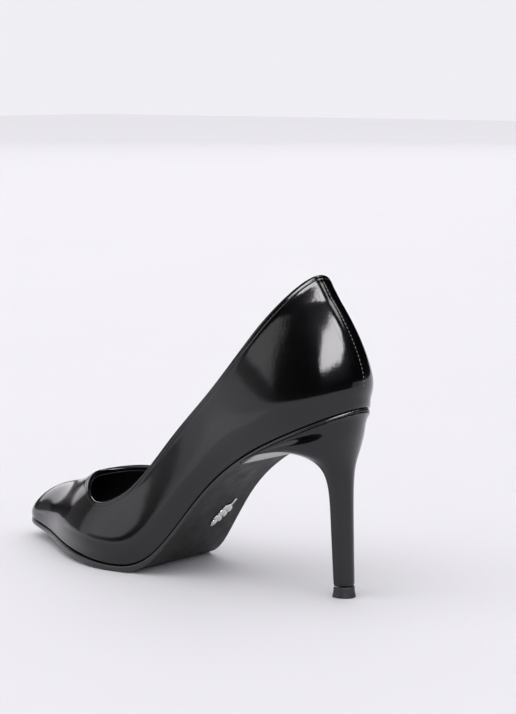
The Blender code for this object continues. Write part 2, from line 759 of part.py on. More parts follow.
def heel_rings(inset):
    frame = heel_frame(inset)
    levels = np.concatenate([[0.0, 0.05, 0.1], np.linspace(0.16, 0.7, HEEL_LEVELS - 5), [0.85, 1.0]])
    return [heel_ring(level, frame, inset) for level in levels]


def ring_faces(count, rings, start, flip=False):
    faces = []
    for i in range(rings - 1):
        for j in range(count):
            a = start + i * count + j
            b = start + i * count + (j + 1) % count
            face = (a, b, b + count, a + count)
            faces.append(face[::-1] if flip else face)
    return faces


def build_heel_cover():
    """The wrapped cover: outer and inner walls, joined at the seat and at the tip seam."""
    outer = heel_rings(0.0)
    inner = heel_rings(COVER_THICKNESS)
    count = len(outer[0])
    rings = len(outer)
    points = list(np.concatenate(outer + inner))
    start = rings * count
    faces = ring_faces(count, rings, 0) + ring_faces(count, rings, start, True)
    for j in range(count):
        k = (j + 1) % count
        faces.append((j, start + j, start + k, k))
        last = (rings - 1) * count
        faces.append((last + k, start + last + k, start + last + j, last + j))
    return face_outward(add_object("heel_cover", points, faces, ((0.006, 0.006, 0.007), 0.12, 0.0)))


def close_ends(part):
    """Fills every open ring of a lofted body."""
    work = bmesh.new()
    work.from_mesh(part.data)
    open_edges = [edge for edge in work.edges if edge.is_boundary]
    caps = bmesh.ops.holes_fill(work, edges=open_edges, sides=0)["faces"]
    bmesh.ops.triangulate(work, faces=caps, ngon_method="BEAUTY")
    bmesh.ops.recalc_face_normals(work, faces=work.faces)
    work.to_mesh(part.data)
    work.free()
    return part


def build_heel_block():
    rings = heel_rings(COVER_THICKNESS + GAP)
    faces = ring_faces(len(rings[0]), len(rings), 0)
    block = add_object("heel_block", list(np.concatenate(rings)), faces, ((0.75, 0.74, 0.70), 0.5, 0.0))
    return close_ends(block)


def stem_axis(height):
    """Centre of the stem at a height."""
    low = (HEEL_BACK[-1][0] + HEEL_STEM[-1][0]) / 2
    high = (HEEL_BACK[-2][0] + HEEL_STEM[-2][0]) / 2
    rise = (height - HEEL_BACK[-1][1]) / (HEEL_BACK[-2][1] - HEEL_BACK[-1][1])
    return np.array([low + (high - low) * rise, 0.0, height])


def build_top_piece():
    """The rubber tip, which widens towards the floor."""
    ring = heel_rings(0.0)[-1]
    centre = ring.mean(axis=0)
    rings = []
    for height, flare in ((TIP_SEAM_HEIGHT - GAP, 0.1), (1.0, TIP_FLARE), (0.0, TIP_FLARE - 0.15)):
        out = ring - centre
        length = np.linalg.norm(out[:, :2], axis=1, keepdims=True)
        moved = ring + out / length * flare
        moved[:, 2] = height
        rings.append(moved)
    faces = ring_faces(len(ring), len(rings), 0)
    part = add_object("top_piece", list(np.concatenate(rings)), faces, ((0.012, 0.012, 0.012), 0.6, 0.0))
    return close_ends(part)


# ---------------------------------------------------------------- turned parts


def turned(name, base, direction, profile, look, sides=16):
    """A body turned about a line: profile gives radius and distance along the line."""
    direction = direction / np.linalg.norm(direction)
    across = np.cross(direction, [0.0, 1.0, 0.0])
    across = across / np.linalg.norm(across)
    third = np.cross(direction, across)
    points = []
    for radius, along in profile:
        for i in range(sides):
            angle = 2 * math.pi * (i + 0.5) / sides
            spoke = across * math.cos(angle) + third * math.sin(angle)
            points.append(base + direction * along + spoke * radius)
    faces = ring_faces(sides, len(profile), 0)
    faces.append(tuple(range(sides)))
    last = (len(profile) - 1) * sides
    faces.append(tuple(last + i for i in reversed(range(sides))))
    return face_outward(add_object(name, points, faces, look))


def pipe(name, base, direction, outer, inner, length, look, sides=16):
    """A tube about a line."""
    profile = [(outer, 0.0), (outer, length), (inner, length), (inner, 0.0)]
    direction = direction / np.linalg.norm(direction)
    across = np.cross(direction, [0.0, 1.0, 0.0])
    across = across / np.linalg.norm(across)
    third = np.cross(direction, across)
    points = []
    for radius, along in profile:
        for i in range(sides):
            angle = 2 * math.pi * (i + 0.5) / sides
            spoke = across * math.cos(angle) + third * math.sin(angle)
            points.append(base + direction * along + spoke * radius)
    faces = ring_faces(sides, 4, 0)
    for i in range(sides):
        k = (i + 1) % sides
        faces.append((3 * sides + i, 3 * sides + k, k, i))
    return face_outward(add_object(name, points, faces, look))


def bottom_frame(x, y):
    """A point of the last's bottom and the direction square to it."""
    plan = np.array([x, y])
    base = bottom_point(plan, 0.0)
    return base, bottom_point(plan, 1.0) - base


def widened(profile, gap):
    """The profile of the hole for a fastener, open at the top."""
    wide = [(radius + gap, along) for radius, along in profile]
    wide[0] = (wide[0][0], profile[0][1] - gap)
    wide[-1] = (wide[-1][0], profile[-1][1] + 1.5)
    for i in range(1, len(wide) - 1):
        if profile[i][1] == profile[i + 1][1] or profile[i][1] == profile[i - 1][1]:
            wide[i] = (wide[i][0], wide[i][1] - gap)
    return wide


def fastener(name, x, y, profile, look):
    """A fastener square to the seat, and the cutter for its holes."""
    base, direction = bottom_frame(x, y)
    turned(name, base, direction, profile, look, 12)
    return turned(name + "_hole", base, direction, widened(profile, GAP), look, 12)


def build_fasteners():
    """Rivets, screw and nails; their cutters become one body of holes."""
    steel = ((0.60, 0.60, 0.62), 0.3, 1.0)
    brass = ((0.70, 0.55, 0.25), 0.35, 1.0)
    holes = []
    for name, x in zip(("shank_rivet_rear", "shank_rivet_front"), RIVET_STATIONS):
        profile = [(RIVET_RADIUS, 0.08), (RIVET_RADIUS, FASTENER_TOP)]
        holes.append(fastener(name, x, float(centre_line(x)), profile, brass))
    head = FASTENER_TOP - 1.2
    screw = [(0.3, -SCREW_LENGTH), (SCREW_RADIUS, -SCREW_LENGTH + 3.0), (SCREW_RADIUS, head),
             (SCREW_HEAD_RADIUS, head), (SCREW_HEAD_RADIUS, FASTENER_TOP)]
    holes.append(fastener("heel_screw", SCREW_STATION, 0.0, screw, steel))
    head = FASTENER_TOP - 0.6
    nail = [(0.15, -NAIL_LENGTH), (NAIL_RADIUS, -NAIL_LENGTH + 1.5), (NAIL_RADIUS, head),
            (NAIL_HEAD_RADIUS, head), (NAIL_HEAD_RADIUS, FASTENER_TOP)]
    for i, (x, y) in enumerate(NAIL_PLACES):
        holes.append(fastener(f"heel_nail_{i + 1}", x, y, nail, steel))
    return join_cutters("fastener_holes", holes)


def join_cutters(name, parts):
    """One cutter made of the separate closed bodies."""
    points = []
    faces = []
    for part in parts:
        start = len(points)
        points += [np.array(vertex.co) / MILLIMETRE for vertex in part.data.vertices]
        faces += [tuple(start + i for i in face.vertices) for face in part.data.polygons]
        bpy.data.objects.remove(part, do_unlink=True)
    joined = bpy.data.meshes.new(name)
    joined.from_pydata([tuple(p * MILLIMETRE) for p in points], [], faces)
    cutter = bpy.data.objects.new(name, joined)
    bpy.context.scene.collection.objects.link(cutter)
    return make_cutter(cutter)


def build_stem_steel(block, top_piece):
    """The dowel in the stem and the pin that holds the tip, with their bores."""
    steel = ((0.58, 0.58, 0.60), 0.35, 1.0)
    foot = stem_axis(TIP_SEAM_HEIGHT + GAP)
    along = stem_axis(DOWEL_TOP) - foot
    length = float(np.linalg.norm(along))
    pipe("heel_dowel", foot, along, DOWEL_RADIUS, DOWEL_BORE_RADIUS, length, steel)
    direction = along / length
    bore = [(DOWEL_RADIUS + GAP, -2.0), (DOWEL_RADIUS + GAP, length + GAP)]
    cut(block, make_cutter(turned("dowel_bore", foot, direction, bore, steel)))
    pin_foot = stem_axis(PIN_BOTTOM)
    reach = float(np.linalg.norm(stem_axis(PIN_TOP) - pin_foot))
    turned("top_piece_pin", pin_foot, direction, [(PIN_RADIUS, 0.0), (PIN_RADIUS, reach)], steel)
    socket = [(PIN_RADIUS + GAP, -GAP), (PIN_RADIUS + GAP, TIP_SEAM_HEIGHT)]
    cut(top_piece, make_cutter(turned("pin_socket", pin_foot, direction, socket, steel)))


# ---------------------------------------------------------------- the ornament


def build_emblem():
    """A small metal leaf on the waist of the sole."""
    steps = 30
    along = np.linspace(0, 1, steps + 1)
    scallop = 1 + 0.16 * np.cos(10 * math.pi * along)
    half = EMBLEM_WIDTH / 2 * np.sin(math.pi * along) ** 0.8 * scallop / 1.16
    run = (along - 0.5) * EMBLEM_LENGTH
    outline = [(run[i], half[i]) for i in range(steps + 1)]
    outline += [(run[i], -half[i]) for i in range(steps - 1, 0, -1)]
    turn = math.radians(EMBLEM_TURN)
    x, y = EMBLEM_PLACE
    base, up = bottom_frame(x, y)
    forward = np.cross([0.0, 1.0, 0.0], up)
    level = -2 * GAP - float(sole_thickness(x)) - 0.12
    points = []
    for depth in (level, level - EMBLEM_THICKNESS):
        for a, b in outline:
            ahead = a * math.cos(turn) - b * math.sin(turn)
            aside = a * math.sin(turn) + b * math.cos(turn)
            points.append(base + up * depth + forward * ahead + np.array([0.0, aside, 0.0]))
    count = len(outline)
    faces = ring_faces(count, 2, 0)
    faces.append(tuple(range(count)))
    faces.append(tuple(count + i for i in reversed(range(count))))
    return face_outward(add_object("sole_emblem", points, faces, ((0.75, 0.75, 0.74), 0.18, 1.0)))


def move_to_footprint_centre():
    """Puts the origin in the middle of the footprint, on the floor."""
    bpy.context.view_layer.update()
    solids = [part for part in bpy.data.objects if not part.hide_render]
    corners = np.array([vertex.co for part in solids for vertex in part.data.vertices])
    low = corners.min(axis=0)
    high = corners.max(axis=0)
    shift = Matrix.Translation((-(low[0] + high[0]) / 2, -(low[1] + high[1]) / 2, 0.0))
    for part in bpy.data.objects:
        part.data.transform(shift)


def main():
    for item in list(bpy.data.objects):
        bpy.data.objects.remove(item, do_unlink=True)
    build_upper()
    build_quarter_lining()
    build_vamp_lining()
    build_heel_counter()
    build_toe_puff()
    build_topline_tape()
    shank_board = build_boards()
    build_sock_and_pads()
    shank = build_shank()
    outsole = build_outsole()
    build_heel_cover()
    block = build_heel_block()
    top_piece = build_top_piece()
    holes = build_fasteners()
    for part in (shank_board, shank, outsole, block):
        cut(part, holes)
    build_stem_steel(block, top_piece)
    build_emblem()
    move_to_footprint_centre()


main()
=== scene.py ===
"""A left high heel pump in black glossy leather on a pale studio floor.

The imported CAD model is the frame. The visible pieces are rebuilt finely on the same last
surface, which is drawn in millimetres in the last's own frame: x forward from the rearmost
point of the feather line, y to the wearer's left, z up. SHIFT moves that frame into the row
frame. Only the throat of the topline is drawn a little rounder than in the CAD.
"""

import math

import bmesh
import bpy
import numpy as np
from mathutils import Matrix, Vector


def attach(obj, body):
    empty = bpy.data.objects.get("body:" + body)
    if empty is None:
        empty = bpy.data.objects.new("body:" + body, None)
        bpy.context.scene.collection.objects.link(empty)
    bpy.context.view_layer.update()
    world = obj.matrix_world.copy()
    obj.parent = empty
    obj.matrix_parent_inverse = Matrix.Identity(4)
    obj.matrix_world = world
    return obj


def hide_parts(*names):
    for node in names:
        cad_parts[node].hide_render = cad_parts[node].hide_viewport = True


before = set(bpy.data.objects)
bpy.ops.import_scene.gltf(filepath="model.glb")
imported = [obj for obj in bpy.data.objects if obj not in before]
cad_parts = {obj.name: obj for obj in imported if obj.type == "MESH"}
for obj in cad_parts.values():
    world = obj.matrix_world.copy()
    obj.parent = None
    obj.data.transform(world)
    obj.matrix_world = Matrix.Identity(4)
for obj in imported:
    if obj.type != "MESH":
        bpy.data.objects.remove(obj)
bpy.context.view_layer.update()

SHIFT = np.array([-117.546, 1.656, 0.0])
MILLIMETRE = 0.001
LATERAL = 1
MEDIAL = -1

# ---------------------------------------------------------------- the last

LAST_LENGTH = 231.5
SEAT_HEIGHT = 94.5
BACK_RADIUS = 21.0
TOE_RADIUS = 12.0
TOE_NOSE_RADIUS = 8.0
BOTTOM_LINE = (
    (0.0, SEAT_HEIGHT), (30.0, 0.853 * SEAT_HEIGHT), (60.0, 0.692 * SEAT_HEIGHT),
    (90.0, 0.422 * SEAT_HEIGHT), (115.0, 0.1 * SEAT_HEIGHT), (135.0, 3.2), (160.0, 5.2),
    (195.0, 8.0), (LAST_LENGTH, 11.0),
)
LATERAL_HALF_WIDTH = (
    (20.0, 24.2), (50.0, 27.3), (85.0, 24.0), (120.0, 32.5), (150.0, 39.4), (185.0, 30.4),
    (215.0, 16.0),
)
MEDIAL_HALF_WIDTH = (
    (20.0, 25.6), (50.0, 25.4), (85.0, 22.7), (120.0, 29.5), (150.0, 39.0), (185.0, 33.2),
    (215.0, 19.8),
)
RIDGE_HEIGHT = (
    (0.0, 110.0), (60.0, 95.0), (110.0, 68.2), (150.0, 48.0), (170.0, 38.0), (190.0, 27.6),
    (203.0, 23.2), (220.0, 14.8),
)
CENTRE_LINE = ((0.0, 0.0), (60.0, 0.0), (120.0, 1.4), (180.0, -4.5), (LAST_LENGTH, -5.8))
RIB_LEAN = (
    (0.0, 15.6), (40.0, 27.0), (80.0, 25.0), (120.0, 20.0), (150.0, 9.5), (185.0, 7.0),
    (LAST_LENGTH, 4.0),
)
RIB_FLATNESS = ((0.0, -0.25), (60.0, -0.2), (120.0, 0.0), (170.0, 0.05), (LAST_LENGTH, 0.0))
FEATHER_TUCK = ((0.0, 0.13), (60.0, 0.13), (120.0, 0.08), (160.0, 0.06), (LAST_LENGTH, 0.08))
TUCK_HEIGHT = 8.0
HEEL_FAN_CENTRE = 27.0
HEEL_FAN_SOFTNESS = 14.0
BACK_CURVE = 7.2
BACK_BULGE = 2.3
BACK_SHAPE_HEIGHT = 50.0
BACK_SHAPE_REACH = 120.0
BACK_HEIGHT = 62.0
TURN_STEPS = 181
THROAT_STATION = 175.0
THROAT_ROUNDNESS = {LATERAL: 2.3, MEDIAL: 1.7}
TOPLINE = {
    LATERAL: (
        (0.0, BACK_HEIGHT), (20.0, 51.9), (60.0, 36.2), (100.0, 35.2), (125.0, 35.2),
        (140.0, 30.8), (155.0, 30.7),
    ),
    MEDIAL: (
        (0.0, BACK_HEIGHT), (20.0, 50.8), (60.0, 39.8), (100.0, 40.0), (130.0, 39.7),
        (152.0, 39.9),
    ),
}

# ---------------------------------------------------------------- layers and the heel

GAP = 0.3
LINING_DEPTH = 2.3
LINING_THICKNESS = 0.6
LINING_JOINT = 128.0
BOARD_TOP = 3.0
WALL_FOOT = 4.4
SOCK_INSET = 2.9
SOCK_THICKNESS = 1.0
PAD_THICKNESS = 1.5
HEEL_PAD_ENDS = (8.0, 62.0)
FOREFOOT_PAD_ENDS = (128.0, 186.0)
SOLE_THICKNESS_BALL = 3.4
SOLE_THICKNESS_TOE = 2.8
SOLE_THICKNESS_WAIST = 1.5
SOLE_EDGE_OUT = 0.6
SOLE_EDGE_IN = 0.9
MARGIN_WIDTH = 10.0
HEEL_TOP_DROP = SOLE_THICKNESS_WAIST + 2 * GAP + 0.1
HEEL_RIM_INSET = 0.5
TIP_SEAM_HEIGHT = 5.6
WING_TIP_STATION = 64.0
HEEL_BACK = (
    (6.0, SEAT_HEIGHT - 8.1), (8.0, SEAT_HEIGHT - 15.3), (9.8, SEAT_HEIGHT - 24.5),
    (10.1, SEAT_HEIGHT - 34.5), (9.6, SEAT_HEIGHT - 56.5), (8.7, TIP_SEAM_HEIGHT),
)
HEEL_WING = ((54.0, 23.6, 0.6), (43.0, 22.6, 2.9), (32.5, 18.0, 7.5))
HEEL_STEM = ((21.6, 8.4, SEAT_HEIGHT - 33.1), (18.5, 5.5, SEAT_HEIGHT - 56.5), (16.9, 4.9, TIP_SEAM_HEIGHT))
BREAST_HOLLOW = (18.0, 15.0, 11.0, 6.0, 1.0, 0.5, 0.4)
LEAF_PLACE = (97.0, -4.5)
LEAF_LENGTH = 20.0
LEAF_TURN = 21.0

# Fine detail of the sewn upper and its linings.
LIP = 0.6
LIP_DEPTH = 1.1
FOLD_HEIGHT = 0.2
SEAM_OFFSET = 0.8
LAP_HEIGHT = 0.35
STITCH_LINE = 2.1
TOPLINE_PITCH = 2.15
SEAM_PITCH = 2.05
LINING_DROP = 0.9
LINING_NOSE = LAST_LENGTH - 3.2
SOCK_FRONT = LAST_LENGTH - 6.0
TOE_EDGE_INSET = 0.6
WING_SWELL = 0.3
LEAFLET_SPREAD = 42.0


def spline(knots):
    """A natural cubic curve through the knots, straight beyond both ends."""
    x, y = np.array(knots, float).T
    step = np.diff(x)
    count = len(x)
    matrix = np.eye(count)
    right = np.zeros(count)
    for i in range(1, count - 1):
        matrix[i, i - 1:i + 2] = step[i - 1], 2 * (step[i - 1] + step[i]), step[i]
        right[i] = 6 * ((y[i + 1] - y[i]) / step[i] - (y[i] - y[i - 1]) / step[i - 1])
    bend = np.linalg.solve(matrix, right)
    first = (y[1] - y[0]) / step[0] - bend[1] * step[0] / 6
    last = (y[-1] - y[-2]) / step[-1] + bend[-2] * step[-1] / 6

    def curve(where):
        where = np.asarray(where, float)
        inside = np.clip(where, x[0], x[-1])
        i = np.clip(np.searchsorted(x, inside) - 1, 0, count - 2)
        a = (x[i + 1] - inside) / step[i]
        b = 1 - a
        cubic = ((a ** 3 - a) * bend[i] + (b ** 3 - b) * bend[i + 1]) * step[i] ** 2 / 6
        beyond = np.minimum(where - x[0], 0) * first + np.maximum(where - x[-1], 0) * last
        return a * y[i] + b * y[i + 1] + cubic + beyond

    return curve


def round_ends(station):
    """0 at both ends of the last, 1 at its middle, with upright tangents."""
    share = np.clip(station / LAST_LENGTH, 0, 1)
    return 2 * np.sqrt(share * (1 - share))


def half_width_curve(knots):
    """Half width along the last, closing round both ends with the end radii."""
    scaled = [(0.0, math.sqrt(BACK_RADIUS * LAST_LENGTH / 2))]
    scaled += [(x, width / float(round_ends(x))) for x, width in knots]
    scaled += [(LAST_LENGTH, math.sqrt(TOE_RADIUS * LAST_LENGTH / 2))]
    scale = spline(scaled)
    return lambda x: scale(x) * round_ends(x)


def ridge_curve():
    """Ridge height along the last, closing round the toe with the nose radius."""
    scaled = [(x, height / math.sqrt(1 - x / LAST_LENGTH)) for x, height in RIDGE_HEIGHT]
    scaled += [(LAST_LENGTH, math.sqrt(2 * TOE_NOSE_RADIUS * LAST_LENGTH))]
    scale = spline(scaled)
    return lambda x: scale(x) * np.sqrt(np.clip(1 - x / LAST_LENGTH, 0, 1))


bottom_height = spline(BOTTOM_LINE)
half_width = {
    LATERAL: half_width_curve(LATERAL_HALF_WIDTH),
    MEDIAL: half_width_curve(MEDIAL_HALF_WIDTH),
}
ridge_height = ridge_curve()
centre_line = spline(CENTRE_LINE)
rib_lean = spline(RIB_LEAN)
rib_flatness = spline(RIB_FLATNESS)
feather_tuck = spline(FEATHER_TUCK)


def wall_point(station, turn, side):
    """Points of the outer surface: turn goes from 0 at the feather line to 90 degrees."""
    station, turn = np.broadcast_arrays(np.asarray(station, float), np.asarray(turn, float))
    ridge = ridge_height(station)
    flatness = rib_flatness(station)
    up = ridge * np.sin(turn) * (1 - flatness * np.cos(turn) ** 2)
    out = np.cos(turn) * (1 - flatness * np.sin(turn) ** 2)
    tuck_height = np.minimum(TUCK_HEIGHT, 0.3 * np.maximum(ridge, 1e-6))
    out = out * (1 - feather_tuck(station) * np.exp(-(up / tuck_height) ** 2))
    ahead = station - HEEL_FAN_CENTRE
    fan = station + 0.5 * (np.hypot(ahead, HEEL_FAN_SOFTNESS) - ahead)
    lean = np.radians(rib_lean(station))
    rise = up / BACK_SHAPE_HEIGHT
    reach = np.clip(1 - station / BACK_SHAPE_REACH, 0, 1) ** 2
    back = BACK_CURVE * rise ** 2 - BACK_BULGE * np.sin(np.pi * np.clip(rise, 0, 1))
    x = fan + (station - fan) * out + np.sin(lean) * up + reach * back
    y = centre_line(station) + side * half_width[side](station) * out
    z = bottom_height(station) + np.cos(lean) * up
    return np.stack([x, y, z], axis=-1)


def angle_of(station):
    return np.arccos(np.clip(1 - 2 * np.asarray(station, float) / LAST_LENGTH, -1, 1))


def station_of(angle):
    return LAST_LENGTH * (1 - np.cos(angle)) / 2


def wall_normal(station, turn, side):
    """Outward unit normals of the outer surface."""
    small = 0.004
    angle = np.clip(angle_of(station), 0.03, math.pi - 0.03)
    turn = np.clip(turn, 0.005, math.pi / 2 - 0.005)
    along = wall_point(station_of(angle + small), turn, side)
    along = along - wall_point(station_of(angle - small), turn, side)
    upward = wall_point(station_of(angle), turn + small, side)
    upward = upward - wall_point(station_of(angle), turn - small, side)
    normal = np.cross(upward, along) * side
    return normal / np.linalg.norm(normal, axis=-1, keepdims=True)


def turn_at_height(station, height):
    """The turn at which a rib reaches a height above the feather line."""
    turns = np.linspace(0, math.pi / 2, TURN_STEPS)
    flatness = float(rib_flatness(station))
    heights = float(ridge_height(station)) * np.sin(turns) * (1 - flatness * np.cos(turns) ** 2)
    return float(np.interp(height, heights, turns))


def topline_curve(side, lower):
    """The turn of the topline, moved down the wall by a distance, closed in a round throat."""
    throat = THROAT_STATION + lower
    scaled = []
    for station, height in TOPLINE[side]:
        opening = math.pi / 2 - turn_at_height(station, height - lower)
        scaled.append((station, opening / math.sqrt(1 - station / throat)))
    scaled.append((throat, THROAT_ROUNDNESS[side]))
    scale = spline(scaled)

    def turn(station):
        room = np.sqrt(np.clip(1 - np.asarray(station, float) / throat, 0, 1))
        return math.pi / 2 - scale(np.minimum(station, throat)) * room

    return turn


def toplines(lower):
    return {side: topline_curve(side, lower) for side in (LATERAL, MEDIAL)}


def feather_normal(station, side):
    """Outward unit normal of the feather outline, seen from above."""
    angle = np.clip(angle_of(station), 0.03, math.pi - 0.03)
    ahead = wall_point(station_of(angle + 0.01), 0, side)
    behind = wall_point(station_of(angle - 0.01), 0, side)
    tangent = (ahead - behind)[..., :2]
    tangent = tangent / np.linalg.norm(tangent, axis=-1, keepdims=True)
    return np.stack([-tangent[..., 1], tangent[..., 0]], axis=-1) * side


def feather_inset(station, side, inset):
    """Plan view points at a distance inside the feather line."""
    station = np.asarray(station, float)
    inset = np.broadcast_to(inset, station.shape)
    edge = wall_point(station, 0, side)[..., :2]
    moved = edge - feather_normal(station, side) * inset[..., None]
    at_end = (station < 1e-6) | (station > LAST_LENGTH - 1e-6)
    inward = np.where(station < LAST_LENGTH / 2, 1.0, -1.0) * inset
    moved[..., 0] = np.where(at_end, edge[..., 0] + inward, moved[..., 0])
    moved[..., 1] = np.where(at_end, edge[..., 1], moved[..., 1])
    return moved


def bottom_point(plan, level):
    """Points at a level above the bottom of the last, square to it."""
    x = plan[..., 0]
    slope = bottom_height(x + 0.5) - bottom_height(x - 0.5)
    length = np.sqrt(1 + slope ** 2)
    away = np.stack([-slope / length, np.zeros_like(x), 1 / length], axis=-1)
    base = np.stack([x, plan[..., 1], bottom_height(x)], axis=-1)
    return base + away * np.broadcast_to(level, x.shape)[..., None]


def smooth_step(x, start, end):
    share = np.clip((np.asarray(x, float) - start) / (end - start), 0, 1)
    return share * share * (3 - 2 * share)


# ---------------------------------------------------------------- meshes


def mesh_object(name, points, faces, materials, picks=None, smooth=True):
    """One mesh object in the row frame, doubled points joined, riding on the root body."""
    mesh = bpy.data.meshes.new(name)
    scaled = (np.asarray(points, float) + SHIFT) * MILLIMETRE
    mesh.from_pydata([tuple(p) for p in scaled], [], faces)
    for material in materials:
        mesh.materials.append(material)
    if picks is not None:
        mesh.polygons.foreach_set("material_index", picks)
    work = bmesh.new()
    work.from_mesh(mesh)
    bmesh.ops.remove_doubles(work, verts=work.verts, dist=2e-6)
    bmesh.ops.dissolve_degenerate(work, dist=1e-7, edges=work.edges)
    bmesh.ops.recalc_face_normals(work, faces=work.faces)
    for face in work.faces:
        face.smooth = smooth
    work.to_mesh(mesh)
    work.free()
    piece = bpy.data.objects.new(name, mesh)
    bpy.context.scene.collection.objects.link(piece)
    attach(piece, "root")
    return piece


class Builder:
    """Collects grids of points and their quads, with a material for each."""

    def __init__(self):
        self.points = []
        self.faces = []
        self.picks = []
        self.count = 0

    def grid(self, grid, pick=0, closed=False):
        rows, columns = grid.shape[:2]
        start = self.count
        self.points.append(grid.reshape(-1, 3))
        self.count += rows * columns
        last = columns if closed else columns - 1
        for i in range(rows - 1):
            for j in range(last):
                a = start + i * columns + j
                b = start + i * columns + (j + 1) % columns
                self.faces.append((a, b, b + columns, a + columns))
                self.picks.append(pick)

    def cap(self, ring, pick=0):
        """A fan over a closed ring."""
        start = self.count
        self.points.append(np.vstack([ring, ring.mean(axis=0)]))
        count = len(ring)
        self.count += count + 1
        for j in range(count):
            self.faces.append((start + j, start + (j + 1) % count, start + count))
            self.picks.append(pick)

    def make(self, name, materials):
        return mesh_object(name, np.vstack(self.points), self.faces, materials, self.picks)


def fine_stations(rear, front, throat):
    """Close stations, closer still at the back seam, round the throat and at the toe."""
    every = list(station_of(np.linspace(0, math.pi, 191)))
    every += list(station_of(np.concatenate([np.arange(0, 0.07, 0.0035), [0.08, 0.09]])))
    every += list(throat - 30 * np.linspace(0, 1, 27) ** 2)
    every += [throat + ahead for ahead in (0.3, 0.6, 0.9, 1.2, 1.6, 2.0, 2.5, 3.2, 4.2)]
    every += list(station_of(math.pi - np.linspace(0, 0.12, 12)))
    every = sorted(x for x in every if rear < x < front)
    kept = [rear]
    for x in every:
        if float(angle_of(x)) - float(angle_of(kept[-1])) > 0.0016 or abs(x - throat) < 1e-9:
            if abs(x - throat) > 1e-9 and abs(x - throat) < 0.02:
                continue
            kept.append(x)
    if front - kept[-1] < 0.01:
        kept.pop()
    kept.append(front)
    return np.array(kept)


def edge_loop(lower, depth, columns=None):
    """The topline as one loop at a distance down the wall: points, normals and cross vectors."""
    throat = THROAT_STATION + lower
    if columns is None:
        columns = fine_stations(0.0, throat, throat)
    turns = toplines(lower)
    sides = {}
    for side in (LATERAL, MEDIAL):
        top = turns[side](columns)
        normal = wall_normal(columns, top, side)
        points = wall_point(columns, top, side) - depth * normal
        sides[side] = points, normal
    points = np.vstack([sides[LATERAL][0], sides[MEDIAL][0][-2:0:-1]])
    normals = np.vstack([sides[LATERAL][1], sides[MEDIAL][1][-2:0:-1]])
    end = len(columns) - 1
    for i in (0, end):
        points[i] = (sides[LATERAL][0][i] + sides[MEDIAL][0][i]) / 2
        normals[i] = sides[LATERAL][1][i] + sides[MEDIAL][1][i]
    normals /= np.linalg.norm(normals, axis=1, keepdims=True)
    tangent = np.roll(points, -1, axis=0) - np.roll(points, 1, axis=0)
    tangent /= np.linalg.norm(tangent, axis=1, keepdims=True)
    across = np.cross(tangent, normals)
    across /= np.linalg.norm(across, axis=1, keepdims=True)
    return points, normals, across


def nearest(points, line):
    """Distance from every point to the nearest point of a closed line."""
    result = np.full(len(points), 1e9)
    closer = np.vstack([line, line[:1]])
    start = closer[:-1]
    along = closer[1:] - start
    length = np.maximum((along ** 2).sum(axis=1), 1e-12)
    for i in range(0, len(points), 4000):
        block = points[i:i + 4000, None, :]
        share = np.clip(((block - start[None]) * along[None]).sum(axis=2) / length[None], 0, 1)
        gap = block - (start[None] + along[None] * share[..., None])
        result[i:i + 4000] = np.sqrt((gap ** 2).sum(axis=2).min(axis=1))
    return result


# ---------------------------------------------------------------- the upper


def meet(sides, where):
    """Gives both sides the same points where they touch: the back seam or the closed ridge."""
    first, second = sides
    middle = (first[where] + second[where]) / 2
    first[where] = middle
    second[where] = middle


def seam_relief(y):
    """Height of the lapped back seam and its pressed stitch line."""
    lap = smooth_step(y, -0.95, -0.7) * (1 - smooth_step(y, 2.0, 14.0)) * LAP_HEIGHT
    return lap - 0.1 * np.exp(-((y - SEAM_OFFSET) / 0.35) ** 2)


def top_relief(distance):
    """The folded edge: full over the turned allowance, pressed in along the stitches."""
    full = FOLD_HEIGHT * (1 - smooth_step(distance, 1.1, 3.6))
    return full - 0.13 * np.exp(-((distance - STITCH_LINE + LIP) / 0.42) ** 2)


